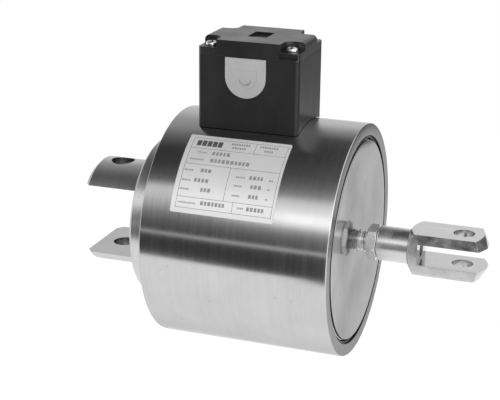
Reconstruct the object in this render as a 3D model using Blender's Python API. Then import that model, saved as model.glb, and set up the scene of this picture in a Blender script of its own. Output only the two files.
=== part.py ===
"""Direct current pull solenoid with a rear clevis, a front fork head and a terminal box.

Every separate physical piece is one named object and one closed solid.
X runs along the rod towards the fork head, Z points up to the terminal box.
The origin is the middle of the flat floor between the two rear ears.
All named sizes are in millimetres and are turned into metres as the meshes are made.
"""
import math

import bmesh
import bpy

MM = 0.001

# Housing, a thick-walled steel pot with its own rear wall
HOUSING_RADIUS = 67.5
HOUSING_BORE = 60.4
HOUSING_REAR = 15.4
HOUSING_FRONT = 124.0
REAR_WALL_END = 30.0
EDGE_CHAMFER = 0.8
FIT_GAP = 0.3

# Rear clevis with its boss, two ears and the fixed pole
BOSS_RADIUS = 47.5
EAR_RADIUS = 31.5
EAR_GAP_HALF = 21.0
EAR_TIP = -39.5
EAR_CHAMFER = 3.0
EAR_HOLE_X = -24.5
EAR_HOLE_RADIUS = 7.0
POLE_RADIUS = 32.0
POLE_FACE = 37.0
REAR_SCREW_CIRCLE = 40.0
REAR_SCREW_ANGLES = (45, 135, 225, 315)

# Armature group, drawn pulled in
ARMATURE_RADIUS = 32.0
ARMATURE_REAR = 38.6
ARMATURE_FRONT = 107.7
DISC_RADIUS = 31.5
ROD_RADIUS = 6.0
ROD_ROOT_RADIUS = 8.0
THREAD_START = 124.9
THREAD_END = 157.0
THREAD_PITCH = 1.75
THREAD_DEPTH = 0.9
HELD_THREAD_RADIUS = 5.6
TAPPED_RADIUS = 5.9
NUT_START = 129.6
NUT_END = 135.6
NUT_ACROSS_FLATS = 18.0
NUT_TURN = 8.0

# Fork head
FORK_START = 135.9
FORK_SQUARE_START = 154.0
FORK_NOSE_START = 192.3
FORK_TIP = 198.0
FORK_HALF = 12.0
FORK_SLOT_HALF = 6.0
FORK_SLOT_FLOOR = 160.3
FORK_NECK_RADIUS = 10.0
FORK_CORNER_RADIUS = 17.2
FORK_NOSE_RADIUS = 7.2
FORK_HOLE_X = 184.0
FORK_HOLE_RADIUS = 6.0

# Front cover and flux ring
COVER_BACK = 114.0
COVER_SHOULDER = 121.0
COVER_RADIUS = 58.6
COVER_SEAT_RADIUS = 60.1
FLUX_RING_BACK = 100.0

# Coil
GUIDE_INNER = 32.15
GUIDE_OUTER = 33.4
BOBBIN_INNER = 33.7
BOBBIN_OUTER = 35.7
WINDING_OUTER = 56.4
WRAP_OUTER = 57.3

# Terminal box
BOX_X0 = 32.9
BOX_X1 = 92.2
BOX_HALF_Y = 22.0
BOX_WALL = 2.6
BOX_CORNER = 2.5
BOX_SADDLE = 67.8
GASKET_SEAT = 68.6
BOX_FLOOR = 71.5
BOX_TOP = 105.5
LID_BOTTOM = 106.1
LID_SKIRT = 105.6
LID_TOP = 114.8
LID_EDGE = 2.6
LID_PLATE = 2.5
SCREW_INSET = 6.2
SCREW_SEAT = 110.2
POCKET_RADIUS = 4.8
INSERT_X = 61.2
INSERT_HALF = 11.9
INSERT_CENTRE_Z = 94.8
LEAD_HOLE_Y = -6.0
LEAD_HOLE_RADIUS = 5.5

# Rating plate
PLATE_X0 = 32.4
PLATE_X1 = 91.7
PLATE_TOP_ANGLE = 25.6
PLATE_BOTTOM_ANGLE = 67.2

BOX_MID_X = (BOX_X0 + BOX_X1) / 2
BOX_HALF_X = (BOX_X1 - BOX_X0) / 2


def clear_scene():
    """Start from an empty scene."""
    for thing in list(bpy.data.objects):
        bpy.data.objects.remove(thing, do_unlink=True)


def material(name, colour, metallic, roughness):
    """Make a plain material once and hand it back afterwards."""
    found = bpy.data.materials.get(name)
    if found:
        return found
    made = bpy.data.materials.new(name)
    made.use_nodes = True
    shader = made.node_tree.nodes["Principled BSDF"]
    shader.inputs["Base Color"].default_value = (*colour, 1.0)
    shader.inputs["Metallic"].default_value = metallic
    shader.inputs["Roughness"].default_value = roughness
    return made


def turned_steel():
    return material("turned_steel", (0.62, 0.62, 0.62), 1.0, 0.3)


def plated_steel():
    return material("plated_steel", (0.72, 0.72, 0.7), 1.0, 0.25)


def soft_iron():
    return material("soft_iron", (0.35, 0.35, 0.35), 1.0, 0.5)


def spring_steel():
    return material("spring_steel", (0.12, 0.12, 0.12), 1.0, 0.45)


def yellow_brass():
    return material("yellow_brass", (0.78, 0.6, 0.28), 1.0, 0.35)


def copper_wire():
    return material("copper_wire", (0.55, 0.25, 0.12), 1.0, 0.4)


def black_plastic():
    return material("black_plastic", (0.02, 0.02, 0.02), 0.0, 0.45)


def grey_plastic():
    return material("grey_plastic", (0.42, 0.42, 0.42), 0.0, 0.5)


def light_plastic():
    return material("light_plastic", (0.7, 0.68, 0.6), 0.0, 0.5)


def black_rubber():
    return material("black_rubber", (0.02, 0.02, 0.02), 0.0, 0.8)


def paper_wrap():
    return material("paper_wrap", (0.6, 0.5, 0.3), 0.0, 0.8)


def plate_foil():
    return material("plate_foil", (0.75, 0.75, 0.75), 1.0, 0.4)


def place(axis, along, radius, angle):
    """Turn a distance along an axis, a radius and an angle into a point."""
    across = radius * math.sin(angle)
    upward = radius * math.cos(angle)
    if axis == "X":
        return (along, -across, upward)
    return (upward, across, along)


def finish(obj, surface):
    """Give the object its material and smooth shading with crisp edges."""
    obj.data.materials.clear()
    obj.data.materials.append(surface)
    for face in obj.data.polygons:
        face.use_smooth = True
    obj.data.set_sharp_from_angle(angle=math.radians(32))
    return obj


def mesh_object(name, points, faces, surface):
    """Make one closed object from points in millimetres."""
    mesh = bpy.data.meshes.new(name)
    mesh.from_pydata([[value * MM for value in point] for point in points], [], faces)
    work = bmesh.new()
    work.from_mesh(mesh)
    bmesh.ops.recalc_face_normals(work, faces=work.faces)
    work.to_mesh(mesh)
    work.free()
    obj = bpy.data.objects.new(name, mesh)
    bpy.context.scene.collection.objects.link(obj)
    return finish(obj, surface)


def revolve(name, profile, surface, segments=48, axis="X", centre=(0.0, 0.0, 0.0), turn=None):
    """Revolve (along, radius) pairs; an end on the axis closes the solid there.

    turn gives a start and an end angle in degrees for a part of a turn.
    """
    ring_shaped = all(radius > 1e-6 for _, radius in profile)
    points = []
    rows = []
    whole = turn is None
    start, end = (0.0, 360.0) if whole else turn
    count = segments if whole else segments + 1
    for along, radius in profile:
        if radius < 1e-6:
            rows.append([len(points)] * count)
            points.append(place(axis, along, 0.0, 0.0))
            continue
        row = []
        for step in range(count):
            angle = math.radians(start + (end - start) * step / segments)
            row.append(len(points))
            points.append(place(axis, along, radius, angle))
        rows.append(row)
    faces = []
    pairs = list(zip(rows, rows[1:]))
    if ring_shaped:
        pairs.append((rows[-1], rows[0]))
    for first, second in pairs:
        for step in range(segments):
            following = (step + 1) % count
            corners = [first[step], first[following], second[following], second[step]]
            unique = list(dict.fromkeys(corners))
            if len(unique) > 2:
                faces.append(unique)
    if not whole:
        faces.append([row[0] for row in rows])
        faces.append([row[-1] for row in rows])
    moved = [[value + shift for value, shift in zip(point, centre)] for point in points]
    return mesh_object(name, moved, faces, surface)


def prism(name, outline, low, high, surface, axis="Z"):
    """Extrude an outline of point pairs between two levels of one axis."""
    points = []
    for level in (low, high):
        for first, second in outline:
            if axis == "Z":
                points.append((first, second, level))
            elif axis == "Y":
                points.append((first, level, second))
            else:
                points.append((level, first, second))
    count = len(outline)
    faces = [list(range(count)), list(range(count, 2 * count))]
    for step in range(count):
        following = (step + 1) % count
        faces.append([step, following, count + following, count + step])
    return mesh_object(name, points, faces, surface)


def block(name, low, high, surface):
    """A plain rectangular block between two opposite corners."""
    outline = [(low[0], low[1]), (high[0], low[1]), (high[0], high[1]), (low[0], high[1])]
    return prism(name, outline, low[2], high[2], surface)


def arc(centre, radius, start, end, steps):
    """Points along an arc, angles in degrees."""
    made = []
    for step in range(steps + 1):
        angle = math.radians(start + (end - start) * step / steps)
        made.append((centre[0] + radius * math.cos(angle), centre[1] + radius * math.sin(angle)))
    return made


def rounded_outline(half_x, half_y, radius, steps=4):
    """A rectangle with rounded corners about the middle of the terminal box."""
    outline = []
    for sign_x, sign_y, start in ((1, 1, 0), (-1, 1, 90), (-1, -1, 180), (1, -1, 270)):
        centre = (BOX_MID_X + sign_x * (half_x - radius), sign_y * (half_y - radius))
        outline.extend(arc(centre, radius, start, start + 90, steps))
    return outline


def cavity_outline(post_radius, inset=BOX_WALL, steps=5):
    """The inside of box or lid, stepping round the four screw posts."""
    half_x = BOX_HALF_X - inset
    half_y = BOX_HALF_Y - inset
    outline = []
    off_x = BOX_HALF_X - SCREW_INSET
    off_y = BOX_HALF_Y - SCREW_INSET
    reach_x = math.sqrt(post_radius ** 2 - (half_y - off_y) ** 2)
    reach_y = math.sqrt(post_radius ** 2 - (half_x - off_x) ** 2)
    low_angle = math.degrees(math.atan2(half_y - off_y, -reach_x))
    high_angle = math.degrees(math.atan2(-reach_y, half_x - off_x)) + 360
    for sign_x, sign_y in ((1, 1), (-1, 1), (-1, -1), (1, -1)):
        curve = arc((off_x, off_y), post_radius, low_angle, high_angle, steps)
        if sign_x * sign_y > 0:
            curve.reverse()
        for along, across in curve:
            outline.append((BOX_MID_X + sign_x * along, sign_y * across))
    return outline


def screw_positions():
    """Middle of each corner screw of the terminal box."""
    spots = []
    for sign_x in (-1, 1):
        for sign_y in (-1, 1):
            x_mid = BOX_MID_X + sign_x * (BOX_HALF_X - SCREW_INSET)
            spots.append((x_mid, sign_y * (BOX_HALF_Y - SCREW_INSET)))
    return spots


def cut(target, tool, operation="DIFFERENCE"):
    """Cut a target with a hidden tool shape."""
    tool.hide_render = True
    tool.display_type = "WIRE"
    step = target.modifiers.new(tool.name, "BOOLEAN")
    step.operation = operation
    step.solver = "EXACT"
    step.object = tool
    return step


def post_tool(name, x_mid, y_mid, radius, low, high, segments=20):
    """A vertical round tool for a hole."""
    profile = [(low, 0.0), (low, radius), (high, radius), (high, 0.0)]
    centre = (x_mid, y_mid, 0.0)
    return revolve(name, profile, soft_iron(), segments, "Z", centre)


def lying_tool(name, y_mid, z_mid, profile, segments=20):
    """A round tool lying along the main axis, for the rear screw holes."""
    return revolve(name, profile, soft_iron(), segments, "X", (0.0, y_mid, z_mid))


def rear_screw_spot(angle):
    """Height and side offset of one rear screw."""
    turn = math.radians(angle)
    return REAR_SCREW_CIRCLE * math.cos(turn), REAR_SCREW_CIRCLE * math.sin(turn)


def housing_shell():
    """Thick steel pot with an integral rear wall and a snap ring groove at the mouth."""
    bore = POLE_RADIUS + FIT_GAP
    profile = [
        (HOUSING_REAR, bore),
        (HOUSING_REAR, HOUSING_RADIUS - EDGE_CHAMFER),
        (HOUSING_REAR + EDGE_CHAMFER, HOUSING_RADIUS),
        (HOUSING_FRONT - EDGE_CHAMFER, HOUSING_RADIUS),
        (HOUSING_FRONT, HOUSING_RADIUS - EDGE_CHAMFER),
        (HOUSING_FRONT, HOUSING_BORE),
        (123.0, HOUSING_BORE),
        (123.0, 61.9),
        (121.0, 61.9),
        (121.0, HOUSING_BORE),
        (REAR_WALL_END, HOUSING_BORE),
        (REAR_WALL_END, bore),
    ]
    shell = revolve("housing_shell", profile, turned_steel(), 64)
    for index, angle in enumerate(REAR_SCREW_ANGLES):
        y_mid, z_mid = rear_screw_spot(angle)
        hole = [(10.0, 0.0), (10.0, 3.3), (27.0, 3.3), (27.0, 0.0)]
        cut(shell, lying_tool("tool_rear_hole_%d" % index, y_mid, z_mid, hole, 12))
    cut(shell, post_tool("tool_lead_hole", BOX_MID_X, LEAD_HOLE_Y, LEAD_HOLE_RADIUS, 50.0, 80.0))
    for index, (x_mid, y_mid) in enumerate(floor_screw_spots()):
        tool = post_tool("tool_floor_tap_%d" % index, x_mid, y_mid, 2.3, 61.9, 80.0, 12)
        cut(shell, tool)
    return shell


def floor_screw_spots():
    """Two fixing screws and the earth screw, all tapped into the housing wall."""
    return [(BOX_MID_X - 21.5, 0.0), (BOX_MID_X + 21.5, 0.0), (BOX_MID_X - 15.0, -10.0)]


def rear_clevis():
    """Boss, fixed pole and two ears turned from one bar, with the slot milled across."""
    profile = [
        (EAR_TIP, 0.0),
        (EAR_TIP, EAR_RADIUS - EAR_CHAMFER),
        (EAR_TIP + EAR_CHAMFER, EAR_RADIUS),
        (0.0, EAR_RADIUS),
        (0.0, BOSS_RADIUS - 1.5),
        (1.5, BOSS_RADIUS),
        (HOUSING_REAR - FIT_GAP, BOSS_RADIUS),
        (HOUSING_REAR - FIT_GAP, POLE_RADIUS),
        (POLE_FACE, POLE_RADIUS),
        (POLE_FACE, 7.0),
        (POLE_FACE - 5.0, 7.0),
        (POLE_FACE - 5.0, 0.0),
    ]
    clevis = revolve("rear_clevis", profile, turned_steel(), 48)
    low = (EAR_TIP - 5, -70, -EAR_GAP_HALF)
    high = (0.0, 70, EAR_GAP_HALF)
    cut(clevis, block("tool_ear_slot", low, high, turned_steel()))
    cut(clevis, post_tool("tool_ear_hole", EAR_HOLE_X, 0.0, EAR_HOLE_RADIUS, -45.0, 45.0, 28))
    for index, angle in enumerate(REAR_SCREW_ANGLES):
        y_mid, z_mid = rear_screw_spot(angle)
        hole = [(-5.0, 0.0), (-5.0, 5.4), (6.6, 5.4), (6.6, 3.4), (20.0, 3.4), (20.0, 0.0)]
        cut(clevis, lying_tool("tool_counterbore_%d" % index, y_mid, z_mid, hole, 16))
    return clevis


def rear_screws():
    """Four socket head screws that hold the clevis to the housing."""
    profile = [(2.6, 0.0), (2.6, 2.6), (0.3, 2.9), (0.3, 4.6), (0.7, 5.0), (6.3, 5.0)]
    profile += [(6.3, 3.0), (26.0, 3.0), (26.0, 0.0)]
    for index, angle in enumerate(REAR_SCREW_ANGLES):
        y_mid, z_mid = rear_screw_spot(angle)
        centre = (0.0, y_mid, z_mid)
        revolve("rear_screw_%d" % (index + 1), profile, plated_steel(), 12, "X", centre)


def front_cover():
    """Polished closing disc with a seat for the rod bush and a seal groove."""
    profile = [
        (COVER_BACK, 9.6),
        (COVER_BACK, COVER_SEAT_RADIUS),
        (116.0, COVER_SEAT_RADIUS),
        (116.0, 57.3),
        (119.0, 57.3),
        (119.0, COVER_SEAT_RADIUS),
        (COVER_SHOULDER, COVER_SEAT_RADIUS),
        (COVER_SHOULDER, COVER_RADIUS),
        (HOUSING_FRONT - 0.3, COVER_RADIUS),
        (HOUSING_FRONT, COVER_RADIUS - 0.3),
        (HOUSING_FRONT, 6.5),
        (122.2, 6.5),
        (122.2, 9.6),
    ]
    return revolve("front_cover", profile, turned_steel(), 48)


def retaining_ring():
    """Open snap ring in the groove at the mouth of the housing."""
    profile = [(121.3, 59.0), (121.3, 61.6), (122.7, 61.6), (122.7, 59.0)]
    return revolve("retaining_ring", profile, spring_steel(), 47, turn=(184.0, 536.0))


def cover_seal():
    """Round section sealing ring in the edge groove of the front cover."""
    profile = []
    for step in range(6):
        angle = math.radians(60 * step)
        profile.append((117.5 + 1.1 * math.sin(angle), 59.0 + 1.1 * math.cos(angle)))
    return revolve("cover_seal", profile, black_rubber(), 32)


def front_bush():
    """Bronze bush that guides the rod."""
    profile = [(COVER_BACK + 0.1, 6.1), (COVER_BACK + 0.1, 9.3), (121.9, 9.3), (121.9, 6.1)]
    return revolve("front_bush", profile, yellow_brass(), 28)


def flux_ring():
    """Soft iron ring that carries the field from the housing to the armature."""
    inner = GUIDE_OUTER + FIT_GAP
    back = FLUX_RING_BACK
    front = COVER_BACK - FIT_GAP
    profile = [(back, inner), (back, COVER_SEAT_RADIUS), (front, COVER_SEAT_RADIUS), (front, inner)]
    return revolve("flux_ring", profile, soft_iron(), 32)


def guide_tube():
    """Thin brass tube in which the armature slides."""
    back = REAR_WALL_END + 2.5
    front = COVER_BACK - 0.5
    profile = [(back, GUIDE_INNER), (back, GUIDE_OUTER), (front, GUIDE_OUTER), (front, GUIDE_INNER)]
    return revolve("guide_tube", profile, yellow_brass(), 48)


def bobbin():
    """Moulded coil former with two flanges."""
    back = REAR_WALL_END + FIT_GAP
    front = FLUX_RING_BACK - FIT_GAP
    rim = COVER_SEAT_RADIUS - 0.2
    profile = [
        (back, BOBBIN_INNER),
        (back, rim),
        (back + 2.0, rim),
        (back + 2.0, BOBBIN_OUTER),
        (front - 2.0, BOBBIN_OUTER),
        (front - 2.0, rim),
        (front, rim),
        (front, BOBBIN_INNER),
    ]
    return revolve("bobbin", profile, light_plastic(), 32)


def winding():
    """Copper winding, drawn as one solid coil."""
    inner = BOBBIN_OUTER + FIT_GAP
    profile = [(32.7, inner), (32.7, WINDING_OUTER), (97.3, WINDING_OUTER), (97.3, inner)]
    return revolve("winding", profile, copper_wire(), 32)


def winding_wrap():
    """Insulating paper wrapped round the winding."""
    inner = WINDING_OUTER + FIT_GAP
    profile = [(32.9, inner), (32.9, WRAP_OUTER), (97.1, WRAP_OUTER), (97.1, inner)]
    return revolve("winding_wrap", profile, paper_wrap(), 32)


def armature():
    """Solid soft iron plunger with a headed stub at the rear that carries the brass disc."""
    profile = [
        (35.6, 0.0),
        (35.6, 5.5),
        (37.0, 5.5),
        (37.0, 4.0),
        (ARMATURE_REAR, 4.0),
        (ARMATURE_REAR, ARMATURE_RADIUS - 1.0),
        (ARMATURE_REAR + 1.0, ARMATURE_RADIUS),
        (ARMATURE_FRONT - 1.0, ARMATURE_RADIUS),
        (ARMATURE_FRONT, ARMATURE_RADIUS - 1.0),
        (ARMATURE_FRONT, ROD_ROOT_RADIUS + FIT_GAP),
        (79.7, ROD_ROOT_RADIUS + FIT_GAP),
        (79.7, 0.0),
    ]
    return revolve("armature", profile, soft_iron(), 48)


def anti_stick_disc():
    """Loose brass disc on the armature stub that keeps the armature off the pole."""
    profile = [(37.3, 4.4), (37.3, DISC_RADIUS), (38.3, DISC_RADIUS), (38.3, 4.4)]
    return revolve("anti_stick_disc", profile, yellow_brass(), 40)


def armature_rod():
    """Rod screwed into the armature, with a cut thread at its outer end."""
    core = ROD_RADIUS - THREAD_DEPTH
    profile = [(80.0, 0.0), (80.0, ROD_ROOT_RADIUS), (107.4, ROD_ROOT_RADIUS)]
    profile += [(107.4, ROD_RADIUS), (THREAD_START, ROD_RADIUS)]
    turns = int((NUT_START - THREAD_START) / THREAD_PITCH)
    for index in range(turns):
        root = THREAD_START + THREAD_PITCH * (index + 0.5)
        profile.append((root, core))
        profile.append((root + THREAD_PITCH / 2, ROD_RADIUS))
    profile += [(NUT_START - 0.2, HELD_THREAD_RADIUS), (THREAD_END - 1.0, HELD_THREAD_RADIUS)]
    profile += [(THREAD_END, core), (THREAD_END, 0.0)]
    return revolve("armature_rod", profile, plated_steel(), 20)


def lock_nut():
    """Thin hexagon nut that locks the fork head on the rod."""
    corner = NUT_ACROSS_FLATS / 2 / math.cos(math.radians(30))
    face = NUT_ACROSS_FLATS / 2 - 0.2
    profile = [
        (NUT_START, TAPPED_RADIUS),
        (NUT_START, face),
        (NUT_START + 1.0, corner + 0.2),
        (NUT_END - 1.0, corner + 0.2),
        (NUT_END, face),
        (NUT_END, TAPPED_RADIUS),
    ]
    nut = revolve("lock_nut", profile, plated_steel(), 24)
    outline = []
    for step in range(6):
        angle = math.radians(60 * step + NUT_TURN)
        outline.append((corner * math.cos(angle), corner * math.sin(angle)))
    cut(nut, prism("tool_hexagon", outline, NUT_START - 5, NUT_END + 5, turned_steel(), "X"), "INTERSECT")
    return nut


def fork_head():
    """Square fork head: turned neck and nose, milled slot and a cross hole for a pin."""
    profile = [
        (FORK_SLOT_FLOOR + 2.0, 0.0),
        (FORK_SLOT_FLOOR + 2.0, TAPPED_RADIUS),
        (FORK_START, TAPPED_RADIUS),
        (FORK_START, FORK_NECK_RADIUS - 0.6),
        (FORK_START + 0.6, FORK_NECK_RADIUS),
        (FORK_SQUARE_START, FORK_NECK_RADIUS),
        (FORK_SQUARE_START, 10.8),
        (FORK_SQUARE_START + 4.3, FORK_CORNER_RADIUS),
        (FORK_NOSE_START, FORK_CORNER_RADIUS),
        (FORK_TIP, FORK_NOSE_RADIUS),
        (FORK_TIP, 0.0),
    ]
    fork = revolve("fork_head", profile, plated_steel(), 36)
    low = (FORK_START - 10, -FORK_HALF, -FORK_HALF)
    high = (FORK_TIP + 10, FORK_HALF, FORK_HALF)
    cut(fork, block("tool_square", low, high, plated_steel()), "INTERSECT")
    low = (FORK_SLOT_FLOOR, -FORK_HALF - 8, -FORK_SLOT_HALF)
    high = (FORK_TIP + 8, FORK_HALF + 8, FORK_SLOT_HALF)
    cut(fork, block("tool_fork_slot", low, high, plated_steel()))
    cut(fork, post_tool("tool_fork_hole", FORK_HOLE_X, 0.0, FORK_HOLE_RADIUS, -20.0, 20.0, 28))
    return fork


def rating_plate():
    """Thin foil plate that follows the curve of the housing."""
    inner = HOUSING_RADIUS + 0.15
    outer = HOUSING_RADIUS + 0.5
    profile = [(PLATE_X0, inner), (PLATE_X0, outer), (PLATE_X1, outer), (PLATE_X1, inner)]
    angles = (PLATE_TOP_ANGLE, PLATE_BOTTOM_ANGLE)
    return revolve("rating_plate", profile, plate_foil(), 12, turn=angles)


def base_gasket():
    """Thin curved gasket between the housing and the terminal box."""
    inner = HOUSING_RADIUS + 0.2
    outer = GASKET_SEAT - 0.2
    profile = [(BOX_X0 + 1.2, inner), (BOX_X0 + 1.2, outer), (BOX_X1 - 1.2, outer), (BOX_X1 - 1.2, inner)]
    gasket = revolve("base_gasket", profile, black_rubber(), 10, turn=(-17.2, 17.2))
    tool = post_tool("tool_gasket_lead", BOX_MID_X, LEAD_HOLE_Y, LEAD_HOLE_RADIUS, 60.0, 80.0, 16)
    cut(gasket, tool)
    for index, (x_mid, y_mid) in enumerate(floor_screw_spots()):
        cut(gasket, post_tool("tool_gasket_%d" % index, x_mid, y_mid, 2.5, 60.0, 80.0, 12))
    return gasket


def insert_outline(half, bottom_gap=0.0, top=None):
    """The outline of the cable entry: square at the top and half round below."""
    centre = (INSERT_X, INSERT_CENTRE_Z)
    outline = arc(centre, half + bottom_gap, 180, 360, 16)
    outline.append((INSERT_X + half + bottom_gap, top))
    outline.append((INSERT_X - half - bottom_gap, top))
    return outline


def terminal_box():
    """Box with a saddle bottom, four screw posts and an open cable entry slot."""
    outer = rounded_outline(BOX_HALF_X, BOX_HALF_Y, BOX_CORNER)
    box = prism("terminal_box", outer, 58.0, BOX_TOP, black_plastic())
    cut(box, prism("tool_box_cavity", cavity_outline(4.3), BOX_FLOOR, 120.0, black_plastic()))
    saddle = [(0.0, 0.0), (0.0, BOX_SADDLE), (130.0, BOX_SADDLE), (130.0, 0.0)]
    cut(box, revolve("tool_saddle", saddle, black_plastic(), 120))
    first = BOX_X0 + 0.9
    last = BOX_X1 - 0.9
    recess = [(first, 66.0), (first, GASKET_SEAT), (last, GASKET_SEAT), (last, 66.0)]
    cut(box, revolve("tool_gasket_recess", recess, black_plastic(), 12, turn=(-17.5, 17.5)))
    slot = insert_outline(INSERT_HALF, FIT_GAP, 120.0)
    cut(box, prism("tool_entry_slot", slot, -30.0, -15.0, black_plastic(), "Y"))
    for index, (x_mid, y_mid) in enumerate(screw_positions()):
        cut(box, post_tool("tool_box_post_%d" % index, x_mid, y_mid, 1.8, 92.0, 120.0, 10))
    tool = post_tool("tool_box_lead", BOX_MID_X, LEAD_HOLE_Y, LEAD_HOLE_RADIUS, 60.0, 80.0, 16)
    cut(box, tool)
    for index, (x_mid, y_mid) in enumerate(floor_screw_spots()):
        cut(box, post_tool("tool_box_floor_%d" % index, x_mid, y_mid, 2.5, 60.0, 80.0, 12))
    return box


def cable_entry_insert():
    """Grey slide-in blanking piece that closes the cable entry."""
    outline = insert_outline(INSERT_HALF, 0.0, BOX_TOP - 0.1)
    front = -BOX_HALF_Y - 0.4
    return prism("cable_entry_insert", outline, front, front + 4.0, grey_plastic(), "Y")


def lid_gasket():
    """Flat rubber frame between box and lid."""
    outer = rounded_outline(BOX_HALF_X - 0.8, BOX_HALF_Y - 0.8, BOX_CORNER - 0.8)
    gasket = prism("lid_gasket", outer, BOX_TOP + 0.1, LID_BOTTOM - 0.1, black_rubber())
    cut(gasket, prism("tool_gasket_window", cavity_outline(4.0), 100.0, 110.0, black_rubber()))
    for index, (x_mid, y_mid) in enumerate(screw_positions()):
        cut(gasket, post_tool("tool_lid_gasket_%d" % index, x_mid, y_mid, 1.9, 100.0, 110.0, 10))
    return gasket


def pocket_outline(x_mid, y_mid):
    """A corner pocket: round towards the middle of the lid and open to both outer sides."""
    side_x = 1 if x_mid > BOX_MID_X else -1
    side_y = 1 if y_mid > 0 else -1
    outline = []
    for across, along in arc((0.0, 0.0), POCKET_RADIUS, 180, 270, 6):
        outline.append((x_mid + side_x * across, y_mid + side_y * along))
    outline.append((x_mid + side_x * 15.0, y_mid - side_y * POCKET_RADIUS))
    outline.append((x_mid + side_x * 15.0, y_mid + side_y * 15.0))
    outline.append((x_mid - side_x * POCKET_RADIUS, y_mid + side_y * 15.0))
    return outline


def box_lid():
    """Lid with a skirt, a pocket at each corner screw, sloped ends and a square recess."""
    outer = rounded_outline(BOX_HALF_X, BOX_HALF_Y, BOX_CORNER)
    lid = prism("box_lid", outer, LID_SKIRT, LID_TOP, black_plastic())
    inner = rounded_outline(BOX_HALF_X - 0.7, BOX_HALF_Y - 0.7, BOX_CORNER - 0.7)
    cut(lid, prism("tool_lid_skirt", inner, 100.0, LID_BOTTOM, black_plastic()))
    cavity = cavity_outline(7.0)
    cut(lid, prism("tool_lid_cavity", cavity, 100.0, LID_TOP - LID_PLATE, black_plastic()))
    for index, (x_mid, y_mid) in enumerate(screw_positions()):
        pocket = pocket_outline(x_mid, y_mid)
        cut(lid, prism("tool_pocket_%d" % index, pocket, SCREW_SEAT, 125.0, black_plastic()))
        cut(lid, post_tool("tool_lid_hole_%d" % index, x_mid, y_mid, 1.8, 100.0, 112.0, 10))
    for index, (end, side) in enumerate(((BOX_X0, -1), (BOX_X1, 1))):
        wedge = [
            (end - side * LID_EDGE, LID_TOP),
            (end - side * LID_EDGE * 0.35, LID_TOP - LID_EDGE * 0.35),
            (end, LID_TOP - LID_EDGE),
            (end + side * 5.0, LID_TOP - LID_EDGE),
            (end + side * 5.0, LID_TOP + 5.0),
            (end - side * LID_EDGE, LID_TOP + 5.0),
        ]
        cut(lid, prism("tool_lid_edge_%d" % index, wedge, -30.0, 30.0, black_plastic(), "Y"))
    low = (BOX_MID_X - 6.3, -7.0, LID_TOP - 1.2)
    high = (BOX_MID_X + 6.3, 7.0, LID_TOP + 5.0)
    cut(lid, block("tool_lid_recess", low, high, black_plastic()))
    return lid


def lid_screws():
    """Four cheese head screws in the lid corners."""
    seat = SCREW_SEAT + 0.1
    profile = [
        (95.0, 0.0),
        (95.0, 1.5),
        (seat, 1.5),
        (seat, 3.4),
        (seat + 1.8, 3.4),
        (seat + 2.6, 2.4),
        (seat + 2.6, 0.0),
    ]
    for index, (x_mid, y_mid) in enumerate(screw_positions()):
        name = "lid_screw_%d" % (index + 1)
        revolve(name, profile, plated_steel(), 16, "Z", (x_mid, y_mid, 0.0))


def terminal_block():
    """Two-pole terminal block with three barriers."""
    mid = BOX_MID_X
    base = BOX_FLOOR + 0.3
    shelf = base + 6.0
    crest = base + 13.0
    outline = [
        (mid - 15.0, base),
        (mid + 15.0, base),
        (mid + 15.0, crest),
        (mid + 13.0, crest),
        (mid + 13.0, shelf),
        (mid + 1.0, shelf),
        (mid + 1.0, crest),
        (mid - 1.0, crest),
        (mid - 1.0, shelf),
        (mid - 13.0, shelf),
        (mid - 13.0, crest),
        (mid - 15.0, crest),
    ]
    return prism("terminal_block", outline, 3.0, 17.0, light_plastic(), "Y")


def terminal_clamps():
    """Brass clamp bars between the barriers, each with two clamping screws."""
    low_z = BOX_FLOOR + 0.3 + 6.3
    high_z = low_z + 4.5
    for index, side in enumerate((-1, 1)):
        x_mid = BOX_MID_X + 7.0 * side
        low = (x_mid - 5.5, 4.0, low_z)
        high = (x_mid + 5.5, 16.0, high_z)
        clamp = block("terminal_clamp_%d" % (index + 1), low, high, yellow_brass())
        for place_index, y_mid in enumerate((7.0, 13.0)):
            tag = index * 2 + place_index + 1
            cut(clamp, post_tool("tool_clamp_%d" % tag, x_mid, y_mid, 1.8, 70.0, 95.0, 12))
            profile = [(low_z, 0.0), (low_z, 1.5), (high_z + 0.3, 1.5), (high_z + 0.3, 2.6)]
            profile += [(high_z + 2.0, 2.6), (high_z + 2.0, 0.0)]
            centre = (x_mid, y_mid, 0.0)
            revolve("terminal_screw_%d" % tag, profile, plated_steel(), 12, "Z", centre)


def floor_screws():
    """Two fixing screws and the earth screw on the floor of the box."""
    names = ("box_fixing_screw_1", "box_fixing_screw_2", "earth_screw")
    seat = BOX_FLOOR + FIT_GAP
    profile = [(62.4, 0.0), (62.4, 2.0), (seat, 2.0), (seat, 3.6), (seat + 2.2, 3.6), (seat + 2.2, 0.0)]
    for name, (x_mid, y_mid) in zip(names, floor_screw_spots()):
        revolve(name, profile, plated_steel(), 14, "Z", (x_mid, y_mid, 0.0))


def lead_grommet():
    """Rubber grommet through the box floor and the housing wall."""
    profile = [
        (61.2, 3.4),
        (61.2, 5.2),
        (BOX_FLOOR + FIT_GAP, 5.2),
        (BOX_FLOOR + FIT_GAP, 7.0),
        (BOX_FLOOR + 1.8, 7.0),
        (BOX_FLOOR + 1.8, 3.4),
    ]
    return revolve("lead_grommet", profile, black_rubber(), 20, "Z", (BOX_MID_X, LEAD_HOLE_Y, 0.0))


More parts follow.
